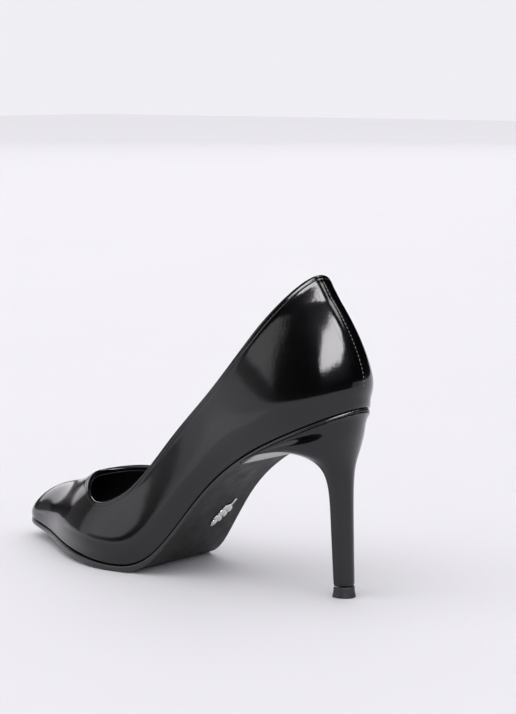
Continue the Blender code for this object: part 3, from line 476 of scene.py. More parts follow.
def build_upper(leather):
    """The outer: margin, rounded feather edge, wall and folded topline."""
    throat = THROAT_STATION + LIP
    columns = fine_stations(0.0, LAST_LENGTH, throat)
    turns = toplines(LIP)
    loop_points = edge_loop(LIP, 0.0)[0]
    steps = np.array([0.0, 0.25, 0.5, 0.8, 1.1, 1.4, 1.7, 2.0, 2.4, 2.9, 3.6, 4.6])
    grids = {}
    for side in (LATERAL, MEDIAL):
        top = np.where(columns < throat, turns[side](np.minimum(columns, throat)), math.pi / 2)
        speed = np.linalg.norm(
            wall_point(columns, top, side) - wall_point(columns, top - 0.01, side), axis=1) / 0.01
        foot = np.array([turn_at_height(x, min(1.0, 0.12 * float(ridge_height(x)))) for x in columns])
        near = top[:, None] - np.minimum(steps[None, :] / np.maximum(speed, 1.0)[:, None],
                                         (steps / 12.0)[None, :] * (top - foot)[:, None])
        share = np.linspace(0, 1, 44)[None, :-1]
        low = foot[:, None] + (near[:, -1] - foot)[:, None] * share
        turn = np.concatenate([low, near[:, ::-1]], axis=1)
        station = np.broadcast_to(columns[:, None], turn.shape)
        normal = wall_normal(station, turn, side)
        wall = wall_point(station, turn, side)
        distance = nearest(wall.reshape(-1, 3), loop_points).reshape(turn.shape)
        relief = top_relief(distance) + seam_relief(wall[..., 1]) * (station < 12.0)
        relief = relief * smooth_step(turn - foot[:, None], 0.0, 0.06)
        wall = wall + normal * relief[..., None]
        height = foot * ridge_height(columns)
        under = []
        for inset, level in ((MARGIN_WIDTH, 0.0), (6.0, 0.0), (3.0, 0.0), (1.6, 0.02), (0.9, 0.08),
                             (0.45, 0.24), (0.15, 0.52)):
            share = np.minimum(height / 1.0, 1.0)
            under.append(bottom_point(feather_inset(columns, side, inset), level * share))
        grids[side] = np.concatenate([np.stack(under, axis=1), wall], axis=1)
    both = grids[LATERAL], grids[MEDIAL]
    meet(both, 0)
    closed = columns >= throat - 1e-9
    meet(both, (closed, -1))
    build = Builder()
    build.grid(grids[LATERAL])
    build.grid(grids[MEDIAL])
    # The fold: from the outer top edge over the lip and down the inner side.
    end = int(np.flatnonzero(closed)[0])
    edge = np.vstack([grids[LATERAL][:end + 1, -1], grids[MEDIAL][end - 1:0:-1, -1]])
    points, normals, across = edge_loop(LIP, 0.0, columns[:end + 1])
    centre = edge - normals * LIP_DEPTH
    fold = []
    for angle in np.linspace(0, math.pi, 13):
        fold.append(centre + LIP_DEPTH * math.cos(angle) * normals + LIP * math.sin(angle) * across)
    fold[0] = edge
    for down in (0.5, 1.5, 3.0, 4.0):
        fold.append(centre - (LIP_DEPTH + 0.02 * down) * normals - down * across)
    build.grid(np.stack(fold, axis=0), closed=True)
    return build.make("upper_leather", [leather])


def build_lining(materials):
    """Quarter and vamp linings with their own thickness and a turned top edge."""
    turns = toplines(LIP + LINING_DROP)
    throat = THROAT_STATION + LIP + LINING_DROP
    made = []
    for name, rear, front, material in (
            ("quarter_lining_leather", 0.0, LINING_JOINT, materials[0]),
            ("vamp_lining_leather", LINING_JOINT + GAP, LINING_NOSE, materials[1])):
        columns = fine_stations(rear, front, throat)
        build = Builder()
        layers = {}
        for side in (LATERAL, MEDIAL):
            top = np.where(columns < throat, turns[side](np.minimum(columns, throat)), math.pi / 2)
            foot = np.array([turn_at_height(x, WALL_FOOT) for x in columns])
            share = np.linspace(0, 1, 34)[None, :] ** 0.9
            turn = foot[:, None] + (np.maximum(top, foot) - foot)[:, None] * share
            station = np.broadcast_to(columns[:, None], turn.shape)
            normal = wall_normal(station, turn, side)
            wall = wall_point(station, turn, side)
            for depth in (LINING_DEPTH, LINING_DEPTH + LINING_THICKNESS):
                layers[side, depth] = wall - depth * normal
        closed = columns >= throat - 1e-9
        for depth in (LINING_DEPTH, LINING_DEPTH + LINING_THICKNESS):
            both = layers[LATERAL, depth], layers[MEDIAL, depth]
            if rear == 0.0:
                meet(both, 0)
            meet(both, (closed, -1))
        for side in (LATERAL, MEDIAL):
            outer = layers[side, LINING_DEPTH]
            inner = layers[side, LINING_DEPTH + LINING_THICKNESS]
            middle = (outer + inner) / 2
            build.grid(outer)
            build.grid(inner)
            build.grid(np.stack([outer[:, 0], inner[:, 0]], axis=1))
            last = int(closed.argmax()) if closed.any() else len(columns) - 1
            lift = middle[:last + 1, -1] - middle[:last + 1, -2]
            lift = lift / np.linalg.norm(lift, axis=1, keepdims=True)
            crest = middle[:last + 1, -1] + lift * 0.2
            if closed.any():
                crest[-1] = middle[last, -1]
            build.grid(np.stack([outer[:last + 1, -1], crest, inner[:last + 1, -1]], axis=1))
            if rear > 0.0:
                build.grid(np.stack([outer[0], inner[0]], axis=1))
            else:
                build.grid(np.stack([outer[-1], inner[-1]], axis=1))
        made.append(build.make(name, [material]))
    return made


# ---------------------------------------------------------------- stitches


def along_line(points, closed):
    """The length reached at each point of a line, and the line, with its start repeated if closed."""
    line = np.vstack([points, points[:1]]) if closed else points
    length = np.concatenate([[0], np.cumsum(np.linalg.norm(np.diff(line, axis=0), axis=1))])
    return length, line


def stitch_mesh(points, normals, pitch, thread, length_share, closed):
    """Short sunk loops of thread along a line."""
    length, line = along_line(points, closed)
    normal_line = np.vstack([normals, normals[:1]]) if closed else normals

    def at(where, values):
        return np.array([np.interp(where, length, values[:, k]) for k in range(3)])

    total = length[-1]
    count = int(total / pitch)
    build = Builder()
    ring = np.linspace(0, 2 * math.pi, 9)[:-1]
    for i in range(count):
        middle = (i + 0.5) * total / count
        half = pitch * length_share / 2
        rings = []
        for share in (-1.0, -0.92, -0.7, -0.35, 0.0, 0.35, 0.7, 0.92, 1.0):
            where = middle + half * share
            centre = at(where, line)
            out = at(where, normal_line)
            out = out / np.linalg.norm(out)
            ahead = at(where + 0.05, line) - at(where - 0.05, line)
            ahead = ahead / max(np.linalg.norm(ahead), 1e-9)
            side = np.cross(out, ahead)
            radius = thread * math.sqrt(max(1 - abs(share) ** 3, 0.02))
            sink = thread * (0.35 - 1.1 * share * share)
            rings.append([centre + out * (sink + radius * math.sin(a)) + side * radius * math.cos(a)
                          for a in ring])
        rings = np.array(rings)
        build.grid(rings, closed=True)
        build.cap(rings[0])
        build.cap(rings[-1])
    return build


def topline_stitches(thread_material):
    points, normals, _ = edge_loop(STITCH_LINE, 0.0)
    points = points + normals * (FOLD_HEIGHT * 0.35 - 0.02)
    build = stitch_mesh(points, normals, TOPLINE_PITCH, 0.17, 0.72, True)
    return build.make("topline_stitches", [thread_material])


def seam_stitches(thread_material):
    """The stitches beside the lapped edge of the back seam."""
    turns = np.linspace(0.06, float(toplines(STITCH_LINE + 1.2)[LATERAL](0.0)), 120)
    small = np.array([0.0006] * len(turns))
    for _ in range(30):
        found = wall_point(small, turns, LATERAL)[:, 1]
        small = small * (SEAM_OFFSET / np.maximum(found, 1e-6)) ** 1.6
    points = wall_point(small, turns, LATERAL)
    normals = wall_normal(small, turns, LATERAL)
    points = points + normals * (LAP_HEIGHT - 0.08)
    build = stitch_mesh(points, normals, SEAM_PITCH, 0.19, 0.7, False)
    return build.make("back_seam_stitches", [thread_material])


# ---------------------------------------------------------------- the sock and its pads


def pad_height(x):
    height = np.zeros(np.shape(x))
    for rear, front in (HEEL_PAD_ENDS, FOREFOOT_PAD_ENDS):
        rise = smooth_step(x, rear - 6, rear + 8) * (1 - smooth_step(x, front - 8, front + 6))
        height = height + rise * PAD_THICKNESS
    return height


def plan_rows(columns, inset, rows):
    edges = [feather_inset(columns, side, inset) for side in (LATERAL, MEDIAL)]
    share = (1 - np.cos(np.linspace(0, math.pi, rows + 1))) / 2
    share = share[None, :, None]
    return edges[0][:, None] * (1 - share) + edges[1][:, None] * share


def edge_distance(plan):
    """Distance of plan points from the nearer long edge."""
    left = np.linalg.norm(plan - plan[:, :1], axis=-1)
    right = np.linalg.norm(plan - plan[:, -1:], axis=-1)
    return np.minimum(left, right)


def build_sock(material):
    """The cushioned sock: rounded edge, stitched rim and soft swell over the pads."""
    columns = fine_stations(0.0, SOCK_FRONT, THROAT_STATION)[::2]
    columns[-1] = SOCK_FRONT
    base = BOARD_TOP + GAP
    plan = plan_rows(columns, SOCK_INSET, 60)
    x = plan[..., 0]
    to_end = np.minimum(columns, SOCK_FRONT - columns)[:, None]
    rim = np.minimum(edge_distance(plan), to_end * 4)
    pad = pad_height(x)
    low = base + pad + GAP * np.clip(pad / 0.2, 0, 1)
    swell = 0.22 * smooth_step(rim, 2.4, 7.0) - 0.16 * np.exp(-((rim - 2.2) / 0.4) ** 2)
    edge = SOCK_THICKNESS * np.sqrt(np.clip(1 - (1 - np.clip(rim / 0.6, 0, 1)) ** 2, 0, 1))
    top = low + edge + np.maximum(swell, -0.3) * smooth_step(rim, 0.4, 1.2)
    build = Builder()
    above = bottom_point(plan, top)
    below = bottom_point(plan, low)
    build.grid(above)
    build.grid(below)
    for end in (0, -1):
        build.grid(np.stack([above[end], below[end]], axis=0))
    for end in (0, -1):
        build.grid(np.stack([above[:, end], below[:, end]], axis=1))
    return build.make("sock_leather", [material])


# ---------------------------------------------------------------- the sole


def sole_thickness(x):
    forepart = smooth_step(x, 102.0, 132.0)
    toe = smooth_step(x, 160.0, 215.0) * (SOLE_THICKNESS_TOE - SOLE_THICKNESS_BALL)
    return SOLE_THICKNESS_WAIST + forepart * (SOLE_THICKNESS_BALL - SOLE_THICKNESS_WAIST) + toe


def build_sole(edge_material, tread_material):
    """The sole as closed cross sections: a rounded edge, then the tread."""
    columns = fine_stations(0.0, LAST_LENGTH, 0.5)
    columns = columns[::2] if len(columns) % 2 else np.append(columns[::2], columns[-1])
    inset = SOLE_EDGE_IN - smooth_step(columns, 62.0, 118.0) * (SOLE_EDGE_IN + SOLE_EDGE_OUT)
    inset = inset + TOE_EDGE_INSET * smooth_step(columns, 186.0, 222.0)
    thickness = sole_thickness(columns)
    thick = smooth_step(columns, 104.0, 130.0)
    # Across the edge: move in from the outline, and share of the thickness.
    profile = (
        (1.4, 0.0), (0.75, 0.0), (0.34, 0.03), (0.14, 0.1), (0.05, 0.2), (0.01, 0.32), (0.0, 0.46),
        (0.0, 0.6), (0.03, 0.72), (0.1, 0.83), (0.26, 0.92), (0.6, 0.98), (1.3, 1.0),
    )
    sides = {}
    for side in (LATERAL, MEDIAL):
        rows = []
        for move, share in profile:
            depth = move * (0.55 + 0.45 * thick)
            plan = feather_inset(columns, side, inset + depth)
            level = -GAP - thickness * share
            point = bottom_point(plan, level)
            point[:, 2] = np.maximum(point[:, 2], 0.0)
            rows.append(point)
        sides[side] = rows
    build = Builder()
    for side in (LATERAL, MEDIAL):
        build.grid(np.stack(sides[side], axis=1), pick=0)
    for index, pick in ((0, 0), (-1, 1)):
        left = sides[LATERAL][index]
        right = sides[MEDIAL][index]
        share = ((1 - np.cos(np.linspace(0, math.pi, 31))) / 2)[None, :, None]
        flat = left[:, None] * (1 - share) + right[:, None] * share
        build.grid(flat, pick=pick)
    return build.make("sole_leather", [edge_material, tread_material])


# ---------------------------------------------------------------- the heel


def heel_top(x):
    plan = np.stack([np.asarray(x, float), np.zeros(np.shape(x))], axis=-1)
    level = bottom_point(plan, -HEEL_TOP_DROP)
    return bottom_height(x) + (level[..., 2] - bottom_height(plan[..., 0])) * 1.15


def seat_half_width(x, side):
    stations = 90.0 * np.linspace(0, 1, 241) ** 2
    edge = feather_inset(stations, side, HEEL_RIM_INSET)
    return np.interp(x, edge[:, 0], np.abs(edge[:, 1]))


def heel_curves():
    wing = [(x, width, float(heel_top(x)) - depth) for x, width, depth in HEEL_WING]
    levels = np.linspace(0, 1, len(wing) + len(HEEL_STEM) + 1)
    back_x = float(feather_inset(np.zeros(1), LATERAL, HEEL_RIM_INSET)[0, 0])
    back = [(back_x, float(heel_top(back_x)))] + list(HEEL_BACK)
    edge = [(WING_TIP_STATION, 23.4, float(heel_top(WING_TIP_STATION))), *wing, *HEEL_STEM]
    back_curves = [spline(list(zip(levels, column))) for column in zip(*back)]
    edge_curves = [spline(list(zip(levels, column))) for column in zip(*edge)]
    return back_curves, edge_curves, spline(list(zip(levels, BREAST_HOLLOW)))


def heel_ring(level, curves, side_points=36, breast_points=24):
    """A closed ring: the rounded back from edge to edge, then the hollow breast."""
    back, edge, hollow = curves
    back_x, back_z = (float(curve(level)) for curve in back)
    edge_x, width, edge_z = (float(curve(level)) for curve in edge)
    turn = np.linspace(0, math.pi / 2, side_points + 1)
    share = 1 - np.cos(turn)
    blend = float(smooth_step(level, 0.0, 0.34))
    seat_back = float(back[0](0.0))
    sides = {}
    for side in (LATERAL, MEDIAL):
        run = share * (edge_x - back_x)
        stem = width * np.sqrt(np.clip(1 - (1 - np.minimum(share / 0.72, 1)) ** 2, 0, 1))
        seat = seat_half_width(seat_back + run, side)
        seat = np.where(share < 1e-6, 0.0, seat)
        sides[side] = np.stack([back_x + run, side * ((1 - blend) * seat + blend * stem)], axis=-1)
    lateral, medial = sides[LATERAL], sides[MEDIAL]
    across = np.linspace(0, 1, breast_points + 2)[1:-1]
    depth = float(hollow(level)) * (1 - (2 * across - 1) ** 2)
    breast = np.stack([edge_x - depth, lateral[-1, 1] * (1 - across) + medial[-1, 1] * across], axis=-1)
    plan = np.concatenate([lateral, breast, medial[:0:-1]])
    for _ in range(2):
        plan = (np.roll(plan, 1, axis=0) + 2 * plan + np.roll(plan, -1, axis=0)) / 4
    share = (plan[:, 0] - back_x) / (edge_x - back_x)
    height = back_z + share * (edge_z - back_z)
    ends = heel_top(np.array([back_x, edge_x]))
    bow = heel_top(plan[:, 0]) - (ends[0] + share * (ends[1] - ends[0]))
    height = height + bow * (1 - float(smooth_step(level, 0.0, 0.16)))
    return np.column_stack([plan, height])


def swollen(ring, amount):
    """The ring moved outwards in plan."""
    ahead = np.roll(ring, -1, axis=0) - np.roll(ring, 1, axis=0)
    out = np.stack([ahead[:, 1], -ahead[:, 0], np.zeros(len(ring))], axis=1)
    out /= np.maximum(np.linalg.norm(out, axis=1, keepdims=True), 1e-9)
    centre = ring.mean(axis=0)
    if ((ring - centre) * out).sum() < 0:
        out = -out
    return ring + out * amount


def build_heel(leather):
    """The covered heel: pulled over a rounded rim at the seat, turned in at the tip."""
    curves = heel_curves()
    levels = np.concatenate([
        [0.0, 0.006, 0.014, 0.024, 0.036, 0.05, 0.07], np.linspace(0.095, 0.97, 58),
        [0.98, 0.988, 0.994, 1.0]])
    rings = [heel_ring(float(level), curves) for level in levels]
    rim = [-0.35, -0.08, 0.06, 0.1, 0.06, 0.01]
    for i, level in enumerate(levels):
        wing = WING_SWELL * (1 - float(smooth_step(level, 0.3, 0.5)))
        rings[i] = swollen(rings[i], wing + (rim[i] if i < len(rim) else 0.0))
    rings[-2] = swollen(rings[-2], -0.05)
    rings[-1] = swollen(rings[-1], -0.3)
    build = Builder()
    build.grid(np.stack(rings), closed=True)
    seat = rings[0]
    middle = seat.mean(axis=0)
    inside = seat + (middle - seat) * 0.04
    inside[:, 2] = seat[:, 2] - 0.2
    build.grid(np.stack([seat, inside]), closed=True)
    # The seat face is filled by strips from side to side.
    half = 36
    left = inside[:half + 1]
    right = np.vstack([inside[:1], inside[:-half - 1:-1]])
    share = np.linspace(0, 1, 26)[None, :, None]
    build.grid(left[:, None] * (1 - share) + right[:, None] * share)
    build.cap(rings[-1])
    return build.make("heel_leather", [leather])


def build_tip(rubber):
    """The rubber top piece, widening to the floor, with a softened lower edge."""
    ring = heel_ring(1.0, heel_curves())
    rings = []
    for height, flare in ((5.15, -0.6), (5.2, -0.12), (5.05, 0.02), (4.6, 0.03), (3.6, 0.06),
                          (2.6, 0.16), (1.6, 0.36), (0.8, 0.56), (0.35, 0.6), (0.12, 0.5), (0.0, 0.2)):
        moved = swollen(ring, flare)
        moved[:, 2] = height
        rings.append(moved)
    build = Builder()
    build.grid(np.stack(rings), closed=True)
    build.cap(rings[0])
    build.cap(rings[-1])
    return build.make("tip_rubber", [rubber])


# ---------------------------------------------------------------- the leaf ornament


def build_leaf(metal):
    """A small cast sprig: a curved stem with seven domed leaflets."""
    x, y = LEAF_PLACE
    plan = np.array([x, y])
    base = bottom_point(plan, 0.0)
    up = bottom_point(plan, 1.0) - base
    forward = np.cross([0.0, 1.0, 0.0], up)
    turn = math.radians(LEAF_TURN)
    level = -2 * GAP - float(sole_thickness(x)) + 0.28

    def place(a, b, c):
        ahead = a * math.cos(turn) - b * math.sin(turn)
        aside = a * math.sin(turn) + b * math.cos(turn)
        return base + forward * ahead + np.array([0.0, aside, 0.0]) - up * (c - level)

    def stem(a):
        return 0.55 * math.sin(a * 0.26)

    build = Builder()
    stations = np.linspace(-LEAF_LENGTH / 2, LEAF_LENGTH / 2 - 3.2, 30)
    ring = np.linspace(0, 2 * math.pi, 11)[:-1]
    rings = []
    for a in stations:
        taper = 0.55 - 0.2 * (a + LEAF_LENGTH / 2) / LEAF_LENGTH
        rings.append([place(a, stem(a) + taper * math.cos(t), 0.45 + taper * math.sin(t)) for t in ring])
    rings = np.array(rings)
    build.grid(rings, closed=True)
    build.cap(rings[0])
    build.cap(rings[-1])
    leaflets = [(LEAF_LENGTH / 2 - 6.0, 0.0, 6.0, 2.3, 0.0)]
    for i, a in enumerate((-5.6, -1.9, 1.8)):
        size = 5.6 - 0.4 * i
        leaflets.append((a, LEAFLET_SPREAD, size, 1.85, 0.1))
        leaflets.append((a + 0.5, -LEAFLET_SPREAD, size, 1.85, -0.1))
    for a, angle, size, half, side in leaflets:
        tilt = math.radians(angle)
        along = np.linspace(0, 1, 15)
        across = np.linspace(-1, 1, 11)
        top = np.zeros((len(along), len(across), 3))
        low = np.zeros_like(top)
        for i, s in enumerate(along):
            wide = half * math.sin(math.pi * s) ** 0.75 * (1.15 - 0.35 * s)
            for j, t in enumerate(across):
                u = s * size
                v = t * wide
                pa = a + u * math.cos(tilt) - v * math.sin(tilt)
                pb = stem(a) + side + u * math.sin(tilt) + v * math.cos(tilt)
                dome = 0.85 * (1 - t * t) ** 0.6 * math.sin(math.pi * s) ** 0.5
                vein = 0.16 * math.exp(-(t / 0.14) ** 2) * math.sin(math.pi * s)
                top[i, j] = place(pa, pb, 0.3 + dome - vein)
                low[i, j] = place(pa, pb, 0.3 - 0.25 * (1 - t * t) * math.sin(math.pi * s))
        build.grid(top)
        build.grid(low)
    return build.make("sole_leaf", [metal])


# ---------------------------------------------------------------- materials


def add_node(tree, kind, **values):
    """A shader node with these input values."""
    node = tree.nodes.new("ShaderNode" + kind)
    for key, value in values.items():
        node.inputs[key.replace("_", " ")].default_value = value
    return node


class Nodes:
    """A small helper for one node material."""

    def __init__(self, name):
        self.material = bpy.data.materials.new(name)
        self.material.use_nodes = True
        self.tree = self.material.node_tree
        self.shader = self.tree.nodes["Principled BSDF"]
        self.place = self.tree.nodes.new("ShaderNodeTexCoord").outputs["Object"]

    def set(self, **values):
        for key, value in values.items():
            self.shader.inputs[key.replace("_", " ")].default_value = value

    def link(self, source, target):
        self.tree.links.new(source, target)

    def texture(self, kind, output, vector, **values):
        node = add_node(self.tree, kind, **values)
        self.link(vector or self.place, node.inputs["Vector"])
        return node.outputs[output]

    def stretch(self, scale, turn=(0.0, 0.0, 0.0)):
        """Object coordinates, scaled and turned."""
        return self.texture("Mapping", "Vector", None, Scale=scale, Rotation=turn)

    def noise(self, scale, detail=3.0, rough=0.5, vector=None):
        return self.texture("TexNoise", "Fac", vector, Scale=scale, Detail=detail, Roughness=rough)

    def cells(self, scale):
        return self.texture("TexVoronoi", "Distance", None, Scale=scale)

    def waves(self, scale, distortion, vector=None):
        return self.texture("TexWave", "Fac", vector, Scale=scale, Distortion=distortion)

    def spread(self, source, low, high, start=0.3, end=0.7):
        """A value spread over a range."""
        node = add_node(self.tree, "MapRange", From_Min=start, From_Max=end, To_Min=low, To_Max=high)
        self.link(source, node.inputs["Value"])
        return node.outputs["Result"]

    def ramp(self, source, *stops):
        node = self.tree.nodes.new("ShaderNodeValToRGB")
        while len(node.color_ramp.elements) < len(stops):
            node.color_ramp.elements.new(0.5)
        for element, (where, colour) in zip(node.color_ramp.elements, stops):
            element.position = where
            element.color = (*colour, 1.0)
        self.link(source, node.inputs["Fac"])
        return node.outputs["Color"]

    def colour(self, source):
        self.link(source, self.shader.inputs["Base Color"])

    def rough(self, source):
        self.link(source, self.shader.inputs["Roughness"])

    def bump(self, *layers):
        """Bump layers as (height, strength, distance in metres)."""
        normal = None
        for height, strength, distance in layers:
            node = add_node(self.tree, "Bump", Strength=strength, Distance=distance)
            self.link(height, node.inputs["Height"])
            if normal:
                self.link(normal, node.inputs["Normal"])
            normal = node.outputs["Normal"]
        self.link(normal, self.shader.inputs["Normal"])
        self.link(normal, self.shader.inputs["Coat Normal"])


def glossy_leather(name, wave_strength):
    """Black polished calf: pores, brushed polish marks and a soft unevenness."""
    n = Nodes(name)
    dark, light = (0.0012, 0.0012, 0.0014), (0.0024, 0.0023, 0.0027)
    n.colour(n.ramp(n.noise(55.0, 5.0), (0.3, dark), (0.7, light)))
    polish = n.noise(420.0, 4.0, 0.65, n.stretch((1.0, 1.0, 0.16), (0.0, 0.45, 0.0)))
    n.rough(n.spread(polish, 0.28, 0.4, 0.35, 0.7))
    n.set(Coat_Weight=1.0, Coat_Roughness=0.09, Coat_IOR=1.5, Specular_IOR_Level=0.04)
    n.set(Coat_Tint=(1.0, 0.96, 1.0, 1.0))
    pores = n.cells(1500.0)
    fine = n.noise(900.0, 3.0, 0.6)
    slow = n.noise(34.0, 2.0, 0.5)
    n.bump((slow, wave_strength, 0.0012), (polish, 0.6, 0.00006),
           (fine, 0.35, 0.00002), (pores, 0.2, 0.00002))
    return n.material


def soft_leather(name, dark, light, rough, grain):
    """Matt glove leather of the inside."""
    n = Nodes(name)
    n.colour(n.ramp(n.noise(160.0, 6.0), (0.3, dark), (0.72, light)))
    n.rough(n.spread(n.noise(60.0, 4.0), rough - 0.06, rough + 0.08))
    n.bump((n.cells(grain), 0.5, 0.00012), (n.noise(grain * 0.4, 5.0, 0.6), 0.4, 0.0001))
    n.set(Specular_IOR_Level=0.4)
    return n.material


def sole_material(name):
    """Matt dark sole sheet: rubbed blotches, fine grit and faint rub lines."""
    n = Nodes(name)
    blotch = n.noise(42.0, 6.0, 0.6)
    n.colour(n.ramp(blotch, (0.3, (0.008, 0.0077, 0.0078)), (0.7, (0.016, 0.0152, 0.015))))
    n.rough(n.spread(n.noise(120.0, 5.0, 0.6), 0.46, 0.62))
    n.set(Specular_IOR_Level=0.35)
    rub = n.noise(500.0, 3.0, 0.6, n.stretch((0.1, 1.0, 0.4)))
    n.bump((n.noise(1400.0, 4.0, 0.7), 0.4, 0.00006), (rub, 0.25, 0.00005))
    return n.material


def edge_material(name):
    """Inked and waxed sole edge."""
    n = Nodes(name)
    n.colour(n.ramp(n.noise(90.0, 4.0), (0.3, (0.006, 0.006, 0.006)), (0.7, (0.013, 0.012, 0.012))))
    n.rough(n.spread(n.noise(260.0, 4.0, 0.6), 0.24, 0.4))
    n.set(Coat_Weight=0.4, Coat_Roughness=0.18)
    n.bump((n.noise(700.0, 3.0, 0.6), 0.3, 0.00006))
    return n.material


def rubber_material(name):
    n = Nodes(name)
    n.colour(n.ramp(n.noise(300.0, 4.0), (0.3, (0.012, 0.012, 0.012)), (0.7, (0.024, 0.023, 0.023))))
    n.rough(n.spread(n.noise(220.0, 4.0), 0.36, 0.52))
    rings = n.waves(900.0, 1.5, n.stretch((0.02, 0.02, 1.0)))
    n.bump((n.noise(1800.0, 3.0, 0.7), 0.4, 0.00006), (rings, 0.2, 0.00004))
    return n.material


def thread_material(name, dark, light):
    """Waxed twisted thread."""
    n = Nodes(name)
    n.colour(n.ramp(n.noise(2600.0, 3.0), (0.3, dark), (0.7, light)))
    n.rough(n.spread(n.noise(1500.0, 3.0), 0.4, 0.6))
    n.bump((n.waves(2400.0, 2.0), 0.5, 0.00005))
    return n.material


def metal_material(name, dark, light, rough, grain=700.0):
    n = Nodes(name)
    n.colour(n.ramp(n.noise(150.0, 4.0), (0.3, dark), (0.7, light)))
    n.set(Metallic=1.0)
    n.rough(n.spread(n.noise(grain, 4.0, 0.6), rough, rough + 0.14))
    n.bump((n.noise(grain, 3.0, 0.6), 0.15, 0.00004))
    return n.material


def fibre_material(name, dark, light, scale, rough):
    """Pressed board, felt, foam or moulded plastic inside the shoe."""
    n = Nodes(name)
    n.colour(n.ramp(n.noise(scale, 8.0, 0.7), (0.3, dark), (0.7, light)))
    n.rough(n.spread(n.noise(scale * 0.5, 4.0), rough - 0.06, rough + 0.08))
    n.bump((n.noise(scale * 2.2, 6.0, 0.7), 0.5, 0.00015), (n.cells(scale * 1.5), 0.3, 0.0001))
    return n.material


leather = glossy_leather("polished_calf", 0.10)
heel_leather = glossy_leather("polished_calf_heel", 0.05)
black_thread = thread_material("black_thread", (0.010, 0.010, 0.011), (0.035, 0.035, 0.038))
grey_thread = thread_material("grey_thread", (0.10, 0.10, 0.105), (0.30, 0.30, 0.31))
lining_leather = soft_leather(
    "quarter_lining_finish", (0.0055, 0.0055, 0.006), (0.010, 0.010, 0.011), 0.62, 900.0)
vamp_leather = soft_leather(
    "vamp_lining_finish", (0.006, 0.006, 0.0065), (0.012, 0.012, 0.0125), 0.68, 1200.0)
sock_leather = soft_leather("sock_finish", (0.008, 0.008, 0.0085), (0.015, 0.015, 0.0155), 0.5, 700.0)

upper = build_upper(leather)
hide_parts("upper")
for piece, node in zip(build_lining((lining_leather, vamp_leather)), ("quarter_lining", "vamp_lining")):
    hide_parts(node)
topline_stitches(black_thread)
seam_stitches(grey_thread)
sock = build_sock(sock_leather)
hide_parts("sock_liner")
sole = build_sole(edge_material("sole_edge_finish"), sole_material("sole_tread_finish"))
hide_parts("outsole")
heel = build_heel(heel_leather)
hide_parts("heel_cover")
tip = build_tip(rubber_material("tip_finish"))
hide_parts("top_piece")
leaf = build_leaf(metal_material("cast_silver", (0.74, 0.73, 0.72), (0.90, 0.89, 0.88), 0.16, 500.0))
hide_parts("sole_emblem")

# ---------------------------------------------------------------- inner CAD pieces

# Darkest and lightest colour of each material that several pieces share.
FOAM = ((0.60, 0.57, 0.26), (0.76, 0.73, 0.38))
BRASS = ((0.52, 0.40, 0.18), (0.68, 0.54, 0.27))
DOWEL_STEEL = ((0.42, 0.42, 0.44), (0.56, 0.56, 0.58))
SCREW_STEEL = ((0.44, 0.44, 0.46), (0.60, 0.60, 0.62))
INNER = {
    "topline_tape": fibre_material("tape_weave", (0.02, 0.02, 0.022), (0.05, 0.05, 0.055), 900.0, 0.7),
    "toe_puff": fibre_material("puff_felt", (0.46, 0.42, 0.33), (0.62, 0.58, 0.47), 500.0, 0.8),
    "heel_counter": fibre_material("counter_board", (0.40, 0.34, 0.25), (0.56, 0.49, 0.37), 420.0, 0.8),
    "insole_board": fibre_material("insole_fibre", (0.016, 0.015, 0.015), (0.034, 0.032, 0.031), 380.0, 0.85),
    "shank_board": fibre_material("shank_fibre", (0.014, 0.013, 0.013), (0.030, 0.028, 0.027), 380.0, 0.85),
    "steel_shank": metal_material("spring_steel", (0.38, 0.39, 0.41), (0.52, 0.53, 0.55), 0.28),
    "shank_rivet_front": metal_material("rivet_brass_front", *BRASS, 0.3),
    "shank_rivet_rear": metal_material("rivet_brass_rear", *BRASS, 0.3),
    "heel_pad": fibre_material("heel_foam", *FOAM, 1100.0, 0.9),
    "forefoot_pad": fibre_material("forefoot_foam", *FOAM, 1100.0, 0.9),
    "bottom_filler": fibre_material("filler_cork", (0.24, 0.15, 0.09), (0.44, 0.30, 0.18), 300.0, 0.95),
    "heel_block": fibre_material("heel_plastic", (0.60, 0.59, 0.55), (0.70, 0.69, 0.66), 200.0, 0.5),
    "heel_dowel": metal_material("dowel_steel", *DOWEL_STEEL, 0.32),
    "top_piece_pin": metal_material("pin_steel", *DOWEL_STEEL, 0.32),
    "heel_screw": metal_material("screw_steel", *SCREW_STEEL, 0.28),
}
for i in range(1, 5):
    INNER[f"heel_nail_{i}"] = metal_material(f"nail_steel_{i}", *SCREW_STEEL, 0.3)
for node, material in INNER.items():
    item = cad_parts[node]
    item.data.materials.clear()
    item.data.materials.append(material)

# ---------------------------------------------------------------- floor, light and camera


def stage_mesh(name, points, faces, material):
    mesh = bpy.data.meshes.new(name)
    mesh.from_pydata(points, [], faces)
    mesh.materials.append(material)
    item = bpy.data.objects.new(name, mesh)
    bpy.context.scene.collection.objects.link(item)
    return item


def floor_material():
    n = Nodes("studio_floor")
    n.colour(n.ramp(n.noise(3.0, 3.0), (0.3, (0.782, 0.775, 0.797)), (0.7, (0.790, 0.783, 0.805))))
    n.rough(n.spread(n.noise(8.0, 3.0), 0.75, 0.85))
    n.set(Specular_IOR_Level=0.15)
    return n.material


FLOOR_REACH = 9.0
corners = [(x * FLOOR_REACH, y * FLOOR_REACH, 0.0) for x, y in ((-1, -1), (1, -1), (1, 1), (-1, 1))]
stage_mesh("studio_floor", corners, [(0, 1, 2, 3)], floor_material())

# Reach of the lit cards, and heights of what floats over the floor, in metres.
CARD_REACH = 7.0
SHOE_MIDDLE = 0.06
POOL_LEVEL = 0.0006
DARK_LEVEL = 0.0009
DARK_HEIGHT = 0.11
HEEL_PLACE = (-0.085, 0.02)


